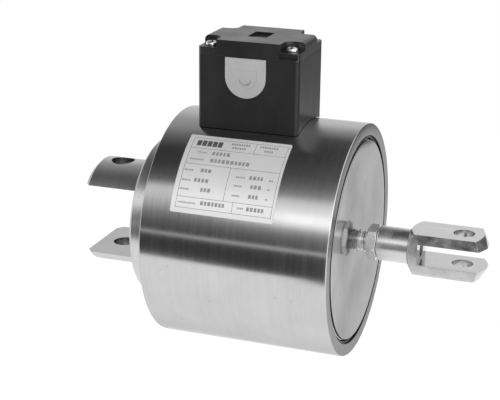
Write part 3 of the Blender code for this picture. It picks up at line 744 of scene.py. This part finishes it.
def socket_screws():
    """Socket head screws sunk in the clevis boss."""
    profile = [(0.3, 0.0), (0.3, 4.5), (0.8, 5.0), (6.3, 5.0), (6.3, 3.0), (26.0, 3.0), (26.0, 0.0)]
    for index, angle in enumerate(REAR_SCREW_ANGLES):
        spot = rear_screw_spot(angle)
        number = index + 1
        screw = revolve("socket_screw_%d" % number, profile, 48, "X", (0.0, *spot))
        carve(screw, [prism("socket_tool", hexagon(5.0, centre=spot), -3.0, 3.2, "X")])
        soften(screw, 0.15)
        dress(screw, STEEL_SCREW, "plated_steel", "rear_screw_%d" % number)


def thread_radius(along, angle):
    """Radius of the thread surface at one place, growing out of the relief groove."""
    phase = (along / THREAD_PITCH - angle / (2 * math.pi)) % 1.0
    crest = min(1.0, max(0.0, 1.15 - abs(phase - 0.5) * 2.6))
    fade = min(1.0, max(0.0, (along - THREAD_START) / 1.2))
    return RELIEF_RADIUS + (THREAD_RADIUS - RELIEF_RADIUS) * crest * fade


def rod():
    """Plain rod with a step in the armature and a right-hand thread at its outer end."""
    segments = 64
    end = NUT_LOW.x - 0.2
    rows = [
        (ROD_LOW.x, 0.0),
        (ROD_LOW.x, ROD_ROOT_RADIUS),
        (ROD_STEP, ROD_ROOT_RADIUS),
        (ROD_STEP, THREAD_RADIUS),
        (HOUSING_FRONT + 0.1, THREAD_RADIUS),
        (HOUSING_FRONT + 0.5, RELIEF_RADIUS),
    ]
    steps = int((end - THREAD_START) / THREAD_PITCH * 16)
    for step in range(steps + 1):
        rows.append((THREAD_START + (end - THREAD_START) * step / steps, None))
    rows += [
        (end + 0.1, ROD_END_RADIUS),
        (ROD_HIGH.x - 1.0, ROD_END_RADIUS),
        (ROD_HIGH.x, ROD_END_RADIUS - 0.8),
        (ROD_HIGH.x, 0.0),
    ]
    points = []
    faces = []
    for along, radius in rows:
        for step in range(segments):
            angle = 2 * math.pi * step / segments
            size = thread_radius(along, angle) if radius is None else radius
            points.append(place("X", along, size, angle))
    for row in range(len(rows) - 1):
        for step in range(segments):
            following = (step + 1) % segments
            low = row * segments
            high = low + segments
            faces.append([low + step, low + following, high + following, high + step])
    piece = link_mesh("threaded_rod", points, faces)
    return dress(shade(piece, 60), STEEL_ROD, "plated_steel", "armature_rod", body="plunger")


def nut():
    """Thin hexagon nut, chamfered on both sides."""
    flat = NUT_ACROSS_FLATS / 2
    corner = flat / math.cos(math.radians(30))
    profile = [
        (NUT_LOW.x, TAPPED_RADIUS + 0.5),
        (NUT_LOW.x, flat - 0.2),
        (NUT_LOW.x + 1.15, corner + 0.15),
        (NUT_HIGH.x - 1.15, corner + 0.15),
        (NUT_HIGH.x, flat - 0.2),
        (NUT_HIGH.x, TAPPED_RADIUS + 0.5),
        (NUT_HIGH.x - 0.5, TAPPED_RADIUS),
        (NUT_LOW.x + 0.5, TAPPED_RADIUS),
    ]
    piece = revolve("hexagon_nut", profile)
    outline = hexagon(NUT_ACROSS_FLATS, NUT_TURN)
    bar = prism("hexagon_tool", outline, NUT_LOW.x - PAST, NUT_HIGH.x + PAST, "X")
    carve(piece, [bar], "INTERSECT")
    soften(piece, 0.18)
    return dress(weigh(piece), STEEL_NUT, "plated_steel", "lock_nut", body="plunger")


def fork():
    """Fork head: turned neck, flared shoulder and nose on a square bar, slot and cross hole."""
    profile = [
        (FORK_SLOT_FLOOR + 2.0, 0.0),
        (FORK_SLOT_FLOOR + 2.0, TAPPED_RADIUS - 0.9),
        (FORK_SLOT_FLOOR - 0.6, TAPPED_RADIUS - 0.9),
        (FORK_SLOT_FLOOR - 1.0, TAPPED_RADIUS),
        (FORK_LOW.x, TAPPED_RADIUS),
        (FORK_LOW.x, FORK_NECK_RADIUS - 0.6),
        (FORK_LOW.x + 0.6, FORK_NECK_RADIUS),
        (FORK_SQUARE_START, FORK_NECK_RADIUS),
        (FORK_SQUARE_START, 10.8),
        (FORK_SQUARE_START + 4.3, FORK_CORNER_RADIUS),
        (FORK_NOSE_START, FORK_CORNER_RADIUS),
        (FORK_HIGH.x, FORK_NOSE_RADIUS),
        (FORK_HIGH.x, 0.0),
    ]
    piece = revolve("fork", profile, 144)
    low = FORK_LOW.x - PAST
    high = FORK_HIGH.x + PAST
    side = FORK_HALF + PAST
    bar = block("square_tool", (low, -FORK_HALF, -FORK_HALF), (high, FORK_HALF, FORK_HALF))
    carve(piece, [bar], "INTERSECT")
    slot_low = (FORK_SLOT_FLOOR, -side, -FORK_SLOT_HALF)
    slot = block("fork_slot_tool", slot_low, (high, side, FORK_SLOT_HALF))
    carve(piece, [slot, round_tool(FORK_HOLE_X, 0.0, FORK_HOLE_RADIUS, -side, side, 64)])
    soften(piece, 0.3)
    dress(weigh(piece), STEEL_FORK, "plated_steel", "fork_head", body="plunger")
    set_face_material(piece, STEEL_NECK, lambda centre, normal: centre.x < FORK_SQUARE_START + 0.1)
    # Painted shade on the wall of the fork's cross hole.
    return paint_hole_shade(piece, FORK_HOLE_X, FORK_HOLE_RADIUS, FORK_HOLE_SHADE_ZINC)


# ---------------------------------------------------------------- rating plate


def on_plate(along, down, height):
    """A place on the plate: millimetres along X, millimetres round the pot, height above it."""
    radius = PLATE_RADIUS + height
    angle = math.radians(PLATE_TOP_ANGLE) + down / PLATE_RADIUS
    return place("X", PLATE_LOW.x + along, radius, angle)


def curved_sheet(name, patches, low, high, pitch=1.5):
    """One mesh of thin curved patches, each (along0, along1, down0, down1)."""
    points = []
    faces = []
    for along0, along1, down0, down1 in patches:
        steps = max(1, int((down1 - down0) / pitch))
        base = len(points)
        for step in range(steps + 1):
            down = down0 + (down1 - down0) * step / steps
            for along, height in ((along0, low), (along1, low), (along1, high), (along0, high)):
                points.append(on_plate(along, down, height))
        for step in range(steps):
            for side in range(4):
                here = base + step * 4 + side
                beside = base + step * 4 + (side + 1) % 4
                faces.append([here, beside, beside + 4, here + 4])
        faces.append([base, base + 1, base + 2, base + 3])
        last = base + steps * 4
        faces.append([last, last + 1, last + 2, last + 3])
    return link_mesh(name, points, faces)


def plate_sheet():
    """The foil, with corners cut back a little."""
    cut = 0.4
    patches = [
        (0.0, PLATE_LENGTH, cut, PLATE_DEPTH - cut),
        (cut, PLATE_LENGTH - cut, 0.0, cut),
        (cut, PLATE_LENGTH - cut, PLATE_DEPTH - cut, PLATE_DEPTH),
    ]
    sheet = curved_sheet("rating_foil", patches, -0.3, 0.0)
    return dress(shade(sheet, 30), FOIL, "plate_foil", "rating_plate")


def word(along, down, length, height, rng):
    """A row of small plain blocks of slightly uneven width, in place of a printed word."""
    blocks = []
    start = along
    cell = height * 0.6
    while start + cell <= along + length + 0.01:
        width = cell * rng.choice((0.8, 0.95, 1.1))
        blocks.append((start, start + width, down + height * 0.08, down + height * 0.92))
        start += width + height * 0.26
    return blocks


def ruled_lines():
    """Frame and cell lines of the plate."""
    line = 0.28
    left, right, top, bottom = 2.7, PLATE_LENGTH - 1.2, 2.2, 46.6
    heading_end, middle, last_row = 9.8, 20.5, 40.2
    across = (top, heading_end, middle, last_row, bottom - line)
    upright = (
        (left, top, bottom),
        (right - line, top, bottom),
        (39.6, top, heading_end),
        (29.6, middle, last_row),
        (35.4, last_row, bottom),
    )
    lines = [(left, right, level, level + line) for level in across]
    return lines + [(along, along + line, start, end) for along, start, end in upright]


def printed_words():
    """Each word of the plate: its place along and down, its length and its height."""
    words = [
        (25.5, 3.6, 11.0, 1.7),
        (26.5, 6.4, 9.0, 1.7),
        (42.0, 3.6, 10.8, 1.7),
        (45.2, 6.4, 6.0, 1.7),
        (8.0, 12.1, 5.8, 1.0),
        (16.4, 11.2, 12.0, 2.8),
        (4.6, 17.0, 8.4, 1.1),
        (16.6, 16.0, 24.2, 2.8),
    ]
    for down, start, length in ((22.9, 13.0, 7.2), (28.9, 10.6, 9.4), (34.2, 15.6, 6.6)):
        words += [(start, down, length, 2.6), (3.4, down + 1.2, 5.6, 1.1)]
    for down, start, length in ((24.0, 41.6, 9.2), (29.2, 43.4, 7.4), (34.8, 43.4, 7.4)):
        words += [(start, down, length, 2.6), (34.0, down + 1.2, 5.2, 1.1)]
        words.append((53.0, down + 1.4, 2.2, 1.0))
    words += [(4.2, 43.1, 10.4, 0.9), (17.0, 41.6, 14.8, 2.6)]
    return words + [(38.4, 42.6, 3.6, 1.1), (43.6, 41.8, 10.0, 2.6)]


def plate_print():
    """Ruled lines, five larger blocks for the heading and rows of small blocks for the words."""
    rng = random.Random(7)
    heading = [(5.4 + 3.1 * step, 8.0 + 3.1 * step, 4.0, 8.0) for step in range(5)]
    rows = ruled_lines()
    for spot in printed_words():
        rows += word(*spot, rng)
    for name, patches, ink in (("plate_heading", heading, INK), ("plate_rows", rows, PALE_INK)):
        sheet = curved_sheet(name, patches, -0.02, 0.03)
        dress(shade(sheet, 30), ink, "plate_foil")


# ---------------------------------------------------------------- terminal box


def rounded_outline(half_x, half_y, radius):
    """A rectangle with rounded corners about the middle of the terminal box."""
    outline = []
    for sign_x, sign_y, start in ((1, 1, 0), (-1, 1, 90), (-1, -1, 180), (1, -1, 270)):
        centre = (BOX_MID_X + sign_x * (half_x - radius), sign_y * (half_y - radius))
        outline.extend(arc(centre, radius, start, start + 90, 8))
    return outline


def cavity_outline(post_radius):
    """The inside of box or lid, stepping round the four screw posts."""
    half_x = BOX_HALF_X - BOX_WALL
    half_y = BOX_HALF_Y - BOX_WALL
    off_x = BOX_HALF_X - SCREW_INSET
    off_y = BOX_HALF_Y - SCREW_INSET
    reach_x = math.sqrt(post_radius ** 2 - (half_y - off_y) ** 2)
    reach_y = math.sqrt(post_radius ** 2 - (half_x - off_x) ** 2)
    low_angle = math.degrees(math.atan2(half_y - off_y, -reach_x))
    high_angle = math.degrees(math.atan2(-reach_y, half_x - off_x)) + 360
    outline = []
    for sign_x, sign_y in ((1, 1), (-1, 1), (-1, -1), (1, -1)):
        curve = arc((off_x, off_y), post_radius, low_angle, high_angle, 10)
        if sign_x * sign_y > 0:
            curve.reverse()
        outline.extend((BOX_MID_X + sign_x * x, sign_y * y) for x, y in curve)
    return outline


def screw_positions():
    """Middle of each corner screw of the terminal box."""
    spots = []
    for sign_x in (-1, 1):
        for sign_y in (-1, 1):
            x_mid = BOX_MID_X + sign_x * (BOX_HALF_X - SCREW_INSET)
            spots.append((x_mid, sign_y * (BOX_HALF_Y - SCREW_INSET)))
    return spots


def floor_screw_spots():
    """The two fixing screws and the earth screw."""
    along, side = EARTH_SCREW_OFF
    fixing = [(BOX_MID_X - FIXING_SCREW_OFF, 0.0), (BOX_MID_X + FIXING_SCREW_OFF, 0.0)]
    return fixing + [(BOX_MID_X + along, side)]


def insert_outline(half, top):
    """Square above, half round below."""
    outline = arc((INSERT_MID_X, INSERT_CENTRE_Z), half, 180, 360, 40)
    outline.append((INSERT_MID_X + half, top))
    outline.append((INSERT_MID_X - half, top))
    return outline


def box_body():
    """Box with saddle bottom, screw posts, entry slot and softly rounded edges."""
    outline = rounded_outline(BOX_HALF_X, BOX_HALF_Y, BOX_CORNER)
    body = prism("box_body", outline, BOX_LOW.z - PAST, BOX_HIGH.z)
    above = BOX_HIGH.z + PAST
    below = BOX_SADDLE - PAST
    inside = BOX_FLOOR + PAST
    tools = [prism("cavity_tool", cavity_outline(POST_RADIUS), BOX_FLOOR, above)]
    front = HOUSING_FRONT + PAST
    saddle = [(0.0, 0.0), (0.0, BOX_SADDLE), (front, BOX_SADDLE), (front, 0.0)]
    tools.append(revolve("saddle_tool", saddle, 240))
    first = BOX_LOW.x + GASKET_INSET
    last = BOX_HIGH.x - GASKET_INSET
    recess = [(first, below), (first, GASKET_SEAT), (last, GASKET_SEAT), (last, below)]
    turn = (-GASKET_HALF_TURN, GASKET_HALF_TURN)
    tools.append(revolve("recess_tool", recess, 40, turn=turn))
    entry = insert_outline(INSERT_HALF + 0.3, above)
    tools.append(prism("entry_tool", entry, BOX_LOW.y - PAST, BOX_LOW.y + BOX_WALL + PAST, "Y"))
    for x_mid, y_mid in screw_positions():
        tools.append(round_tool(x_mid, y_mid, SCREW_HOLE_RADIUS, SCREW_HOLE_END, above, 24))
    tools.append(round_tool(BOX_MID_X, LEAD_HOLE_Y, LEAD_HOLE_RADIUS, below, inside))
    for x_mid, y_mid in floor_screw_spots():
        tools.append(round_tool(x_mid, y_mid, FLOOR_HOLE_RADIUS, below, inside, 24))
    carve(body, tools)
    soften(body, 0.3)
    return dress(weigh(body), BLACK_BODY, "black_plastic", "terminal_box")


def pocket_outline(x_mid, y_mid):
    """A corner pocket: round towards the middle of the lid and open to both outer sides."""
    side_x = 1 if x_mid > BOX_MID_X else -1
    side_y = 1 if y_mid > 0 else -1
    outline = []
    for across, along in arc((0.0, 0.0), POCKET_RADIUS, 180, 270, 12):
        outline.append((x_mid + side_x * across, y_mid + side_y * along))
    far_x = x_mid + side_x * (SCREW_INSET + PAST)
    far_y = y_mid + side_y * (SCREW_INSET + PAST)
    outline.append((far_x, y_mid - side_y * POCKET_RADIUS))
    outline.append((far_x, far_y))
    outline.append((x_mid - side_x * POCKET_RADIUS, far_y))
    return outline


def lid():
    """Lid with a skirt, open corner pockets, rounded ends and a square recess."""
    outer = rounded_outline(BOX_HALF_X, BOX_HALF_Y, BOX_CORNER)
    piece = prism("lid", outer, LID_LOW.z, LID_HIGH.z)
    below = LID_LOW.z - PAST
    above = LID_HIGH.z + PAST
    half_x = BOX_HALF_X - LID_SKIRT
    half_y = BOX_HALF_Y - LID_SKIRT
    inner = rounded_outline(half_x, half_y, BOX_CORNER - LID_SKIRT)
    tools = [prism("skirt_tool", inner, below, LID_BOTTOM)]
    cavity = cavity_outline(LID_POST_RADIUS)
    tools.append(prism("lid_cavity_tool", cavity, below, LID_HIGH.z - LID_PLATE))
    for end, side in ((LID_LOW.x, -1), (LID_HIGH.x, 1)):
        centre = (end - side * LID_EDGE, LID_HIGH.z - LID_EDGE)
        past = end + side * PAST
        curve = arc(centre, LID_EDGE, 90, 0 if side > 0 else 180, 8)
        wedge = curve + [(past, centre[1]), (past, above), (centre[0], above)]
        tools.append(prism("end_tool", wedge, LID_LOW.y - PAST, LID_HIGH.y + PAST, "Y"))
    for x_mid, y_mid in screw_positions():
        tools.append(prism("pocket_tool", pocket_outline(x_mid, y_mid), SCREW_SEAT, above))
        tools.append(round_tool(x_mid, y_mid, SCREW_HOLE_RADIUS, below, above, 24))
    recess_low = (BOX_MID_X - LID_RECESS_HALF_X, -LID_RECESS_HALF_Y, LID_HIGH.z - LID_RECESS_DEPTH)
    recess_high = (BOX_MID_X + LID_RECESS_HALF_X, LID_RECESS_HALF_Y, above)
    tools.append(block("lid_recess_tool", recess_low, recess_high))
    notch_low = (LID_HIGH.x - 12.0, LID_LOW.y - PAST, LID_BOTTOM + 0.5)
    notch_high = (LID_HIGH.x - 1.2, LID_LOW.y + 1.4, SCREW_SEAT - 0.4)
    tools.append(block("notch_tool", notch_low, notch_high))
    carve(piece, tools)
    soften(piece, 0.35)
    return dress(weigh(piece), BLACK_LID, "black_plastic", "box_lid")


def slotted_screws():
    """Slotted screws with low domed heads, in the lid corners."""
    seat = SCREW_SEAT + 0.1
    profile = [
        (SCREW_END, 0.0),
        (SCREW_END, 1.5),
        (seat, 1.5),
        (seat, 3.45),
        (seat + 1.1, 3.45),
        (seat + 1.8, 3.1),
        (seat + 2.3, 2.3),
        (seat + 2.55, 1.2),
        (seat + 2.6, 0.0),
    ]
    turns = (112, 75, 96, 50)
    for index, (x_mid, y_mid) in enumerate(screw_positions()):
        number = index + 1
        screw = revolve("slotted_screw_%d" % number, profile, 48, "Z", (x_mid, y_mid, 0.0))
        slot = block("screw_slot_tool", (-PAST, -0.4, seat + 1.6), (PAST, 0.4, seat + PAST))
        turn = Matrix.Rotation(math.radians(turns[index]), 4, "Z")
        slot.data.transform(Matrix.Translation((x_mid * MM, y_mid * MM, 0.0)) @ turn)
        carve(screw, [slot])
        soften(screw, 0.12)
        dress(screw, STEEL_SCREW, "plated_steel", "lid_screw_%d" % number)


def entry_insert():
    """Grey blanking piece with a shallow sunk middle and a crescent dimple."""
    front = INSERT_LOW.y
    outline = insert_outline(INSERT_HALF, INSERT_HIGH.z)
    piece = prism("entry_insert", outline, front, INSERT_HIGH.y, "Y")
    sunk = insert_outline(INSERT_HALF - 5.2, INSERT_HIGH.z - 6.5)
    step = prism("step_tool", sunk, front - PAST, front + 0.2, "Y")
    middle = (INSERT_MID_X - 0.2, INSERT_CENTRE_Z - 1.2)
    above = (middle[0], middle[1] + 1.1)
    crescent = arc(middle, 3.6, 185, 355, 20) + arc(above, 3.6, 335, 205, 20)
    dimple = prism("dimple_tool", crescent, front - PAST, front + 0.9, "Y")
    carve(piece, [step, dimple])
    soften(piece, 0.3, 3)
    return dress(weigh(piece), GREY_INSERT, "grey_plastic", "cable_entry_insert")


# ------------------------------------------------------ carried-over CAD nodes


def finish_hidden_nodes():
    """Give every CAD node that still shows its own finished material."""
    terminal_screws = ["terminal_screw_%d" % (index + 1) for index in range(4)]
    finishes = (
        (RUBBER, ["cover_seal", "base_gasket", "lid_gasket", "lead_grommet"]),
        (BRASS, ["front_bush", "guide_tube", "anti_stick_disc", "terminal_clamp_1", "terminal_clamp_2"]),
        (SOFT_IRON, ["flux_ring", "armature"]),
        (CREAM_PLASTIC, ["bobbin", "terminal_block"]),
        (COPPER, ["winding"]),
        (PAPER, ["winding_wrap"]),
        (LEAD_SKIN, ["lead_wire_1", "lead_wire_2"]),
        (STEEL_SCREW, ["box_fixing_screw_1", "box_fixing_screw_2", "earth_screw"] + terminal_screws),
    )
    for surface, names in finishes:
        for name in names:
            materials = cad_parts[name].data.materials
            materials.clear()
            materials.append(surface)


# ------------------------------------------------------------ stage and camera


FLOOR_LEFT = -1600.0
FLOOR_RIGHT = 366.0
FLOOR_FAR = 500.0
FLOOR_NEAR = -225.0
FLOOR_NEAR_AT_ROD = -177.0
FLOOR_STEP = (85.0, 115.0)


def pale_floor():
    """A pale table top. Its near edge lies a little before the object, and closer by the rod."""
    outline = [
        (FLOOR_LEFT, FLOOR_NEAR),
        (FLOOR_STEP[0], FLOOR_NEAR),
        (FLOOR_STEP[1], FLOOR_NEAR_AT_ROD),
        (FLOOR_RIGHT, FLOOR_NEAR_AT_ROD),
        (FLOOR_RIGHT, FLOOR_FAR),
        (FLOOR_LEFT, FLOOR_FAR),
    ]
    points = [(along, side, -HOUSING_RADIUS) for along, side in outline]
    floor = link_mesh("pale_floor", points, [list(range(len(points)))])
    tree = Surface("pale_table_top")
    tree.set(roughness=0.9, specular_ior_level=0.1, emission_color=1.0, emission_strength=1.0)
    grain = tree.noise(60.0, 3.0, 0.5)
    tree.feed("Base Color", tree.blend(grain, 0.03, 0.04))
    floor.data.materials.append(tree.material)


# Brightness of the studio by height angle: 0 is level on the camera side, 90 overhead and -90
# below. The first table is seen by looking across the rod, the second by looking more to the left
# (-X) and the third by looking more to the right. The far left is one even wall.
STUDIO_FRONT = (
    (-180, 0.95), (-30, 0.95), (-24, 0.10), (-18, 0.03), (-8, 0.04),
    (0.4, 0.05), (1.8, 0.72), (3.2, 0.72), (4.6, 0.06), (9, 0.12),
    (15, 0.2), (21, 0.45), (30, 1.7), (34, 1.7), (40, 1.2),
    (49, 0.85), (55, 0.32), (64, 0.16), (75, 0.08), (95, 0.04),
    (112, 0.05), (125, 0.08), (140, 0.35), (158, 0.85), (180, 0.95),
)
STUDIO_REAR = (
    (-180, 0.95), (-30, 0.95), (-24, 0.2), (-18, 0.05), (-8, 0.04),
    (-0.2, 0.06), (1.2, 0.66), (2.6, 0.66), (4.0, 0.06), (9, 0.09),
    (15, 0.14), (23, 0.24), (31, 0.46), (41, 0.82), (49, 0.9),
    (56, 0.16), (64, 0.09), (75, 0.05), (95, 0.04), (112, 0.18),
    (125, 0.4), (140, 0.5), (158, 0.8), (180, 0.95),
)
STUDIO_RIGHT = (
    (-180, 0.12), (-110, 0.1), (-80, 0.9), (-45, 1.3), (20, 1.05),
    (28, 2.0), (55, 2.0), (65, 1.05), (135, 1.05), (162, 0.3),
    (180, 0.12),
)
LEFT_WALL = 1.05

# Where one part of the studio fades into the next, by the X part of the direction
WALL_TO_REAR = (-0.97, -0.82)
REAR_TO_FRONT = (-0.40, -0.26)
FRONT_TO_RIGHT = (0.08, 0.28)

# A colour ramp holds levels up to 1, so it is divided by this and the background multiplies again
STUDIO_STRENGTH = 2.0


def studio_ramp(tree, height, table):
    """Colour ramp for one table of height angles."""
    ramp = tree.add("ValToRGB", {"Fac": height})
    stops = ramp.color_ramp.elements
    while len(stops) > 1:
        stops.remove(stops[-1])
    for index, (angle, level) in enumerate(table):
        position = (angle + 180) / 360
        stop = stops[0] if index == 0 else stops.new(position)
        stop.position = position
        stop.color = colour(level / STUDIO_STRENGTH)
    return ramp.outputs["Color"]


def studio_world():
    """Soft studio that lights the object, behind a plain white backdrop for the camera."""
    world = bpy.data.worlds.new("studio")
    bpy.context.scene.world = world
    world.use_nodes = True
    tree = Graph(world.node_tree)
    tree.nodes.clear()
    direction = tree.add("TexCoord").outputs["Generated"]
    way = tree.add("SeparateXYZ", {"Vector": direction}).outputs
    angle = tree.math("ARCTAN2", way["Z"], tree.math("MULTIPLY", way["Y"], -1.0))
    height = tree.spread(angle, -math.pi, math.pi)

    def fade(span, first, second):
        """Blend two parts of the studio over a span along X."""
        share = tree.spread(way["X"], *span, interpolation_type="SMOOTHSTEP")
        return tree.blend(share, first, second)

    rear = studio_ramp(tree, height, STUDIO_REAR)
    front = studio_ramp(tree, height, STUDIO_FRONT)
    right = studio_ramp(tree, height, STUDIO_RIGHT)
    room = fade(REAR_TO_FRONT, rear, front)
    room = fade(WALL_TO_REAR, LEFT_WALL / STUDIO_STRENGTH, room)
    room = fade(FRONT_TO_RIGHT, room, right)
    studio = tree.add("Background", {"Color": room, "Strength": STUDIO_STRENGTH}).outputs[0]
    backdrop = tree.add("Background", {"Color": colour(1.0)}).outputs[0]
    seen = tree.add("LightPath").outputs["Is Camera Ray"]
    mixed = tree.add("MixShader", {"Fac": seen, 1: studio, 2: backdrop}).outputs[0]
    tree.add("OutputWorld", {"Surface": mixed})


CAMERA_AZIMUTH = 19.52
CAMERA_ELEVATION = 18.75
CAMERA_ROLL = 0.6
CAMERA_DISTANCE = 762.4
CAMERA_TARGET = (56.9, 0.0, 15.9)
CAMERA_LENS = 93.36


def camera():
    """Camera at the photograph's viewing angle, looking down on the near side."""
    azimuth = math.radians(CAMERA_AZIMUTH)
    elevation = math.radians(CAMERA_ELEVATION)
    level = math.cos(elevation)
    back = Vector((math.sin(azimuth) * level, -math.cos(azimuth) * level, math.sin(elevation)))
    right = Vector((math.cos(azimuth), math.sin(azimuth), 0.0))
    up = back.cross(right)
    roll = Matrix.Rotation(math.radians(CAMERA_ROLL), 3, back)
    right, up = roll @ right, roll @ up
    turn = Matrix((right, up, back)).transposed().to_4x4()
    data = bpy.data.cameras.new("camera")
    data.lens = CAMERA_LENS
    data.sensor_width = 36.0
    data.clip_start = 0.01
    obj = bpy.data.objects.new("camera", data)
    place_at = (Vector(CAMERA_TARGET) + back * CAMERA_DISTANCE) * MM
    obj.matrix_world = Matrix.Translation(place_at) @ turn
    bpy.context.scene.collection.objects.link(obj)
    bpy.context.scene.camera = obj


housing_pot()
front_disc()
snap_ring()
clevis()
socket_screws()
rod()
nut()
fork()
plate_sheet()
plate_print()
box_body()
lid()
slotted_screws()
entry_insert()
finish_hidden_nodes()
pale_floor()
studio_world()
camera()

bpy.context.scene.view_settings.view_transform = "Standard"
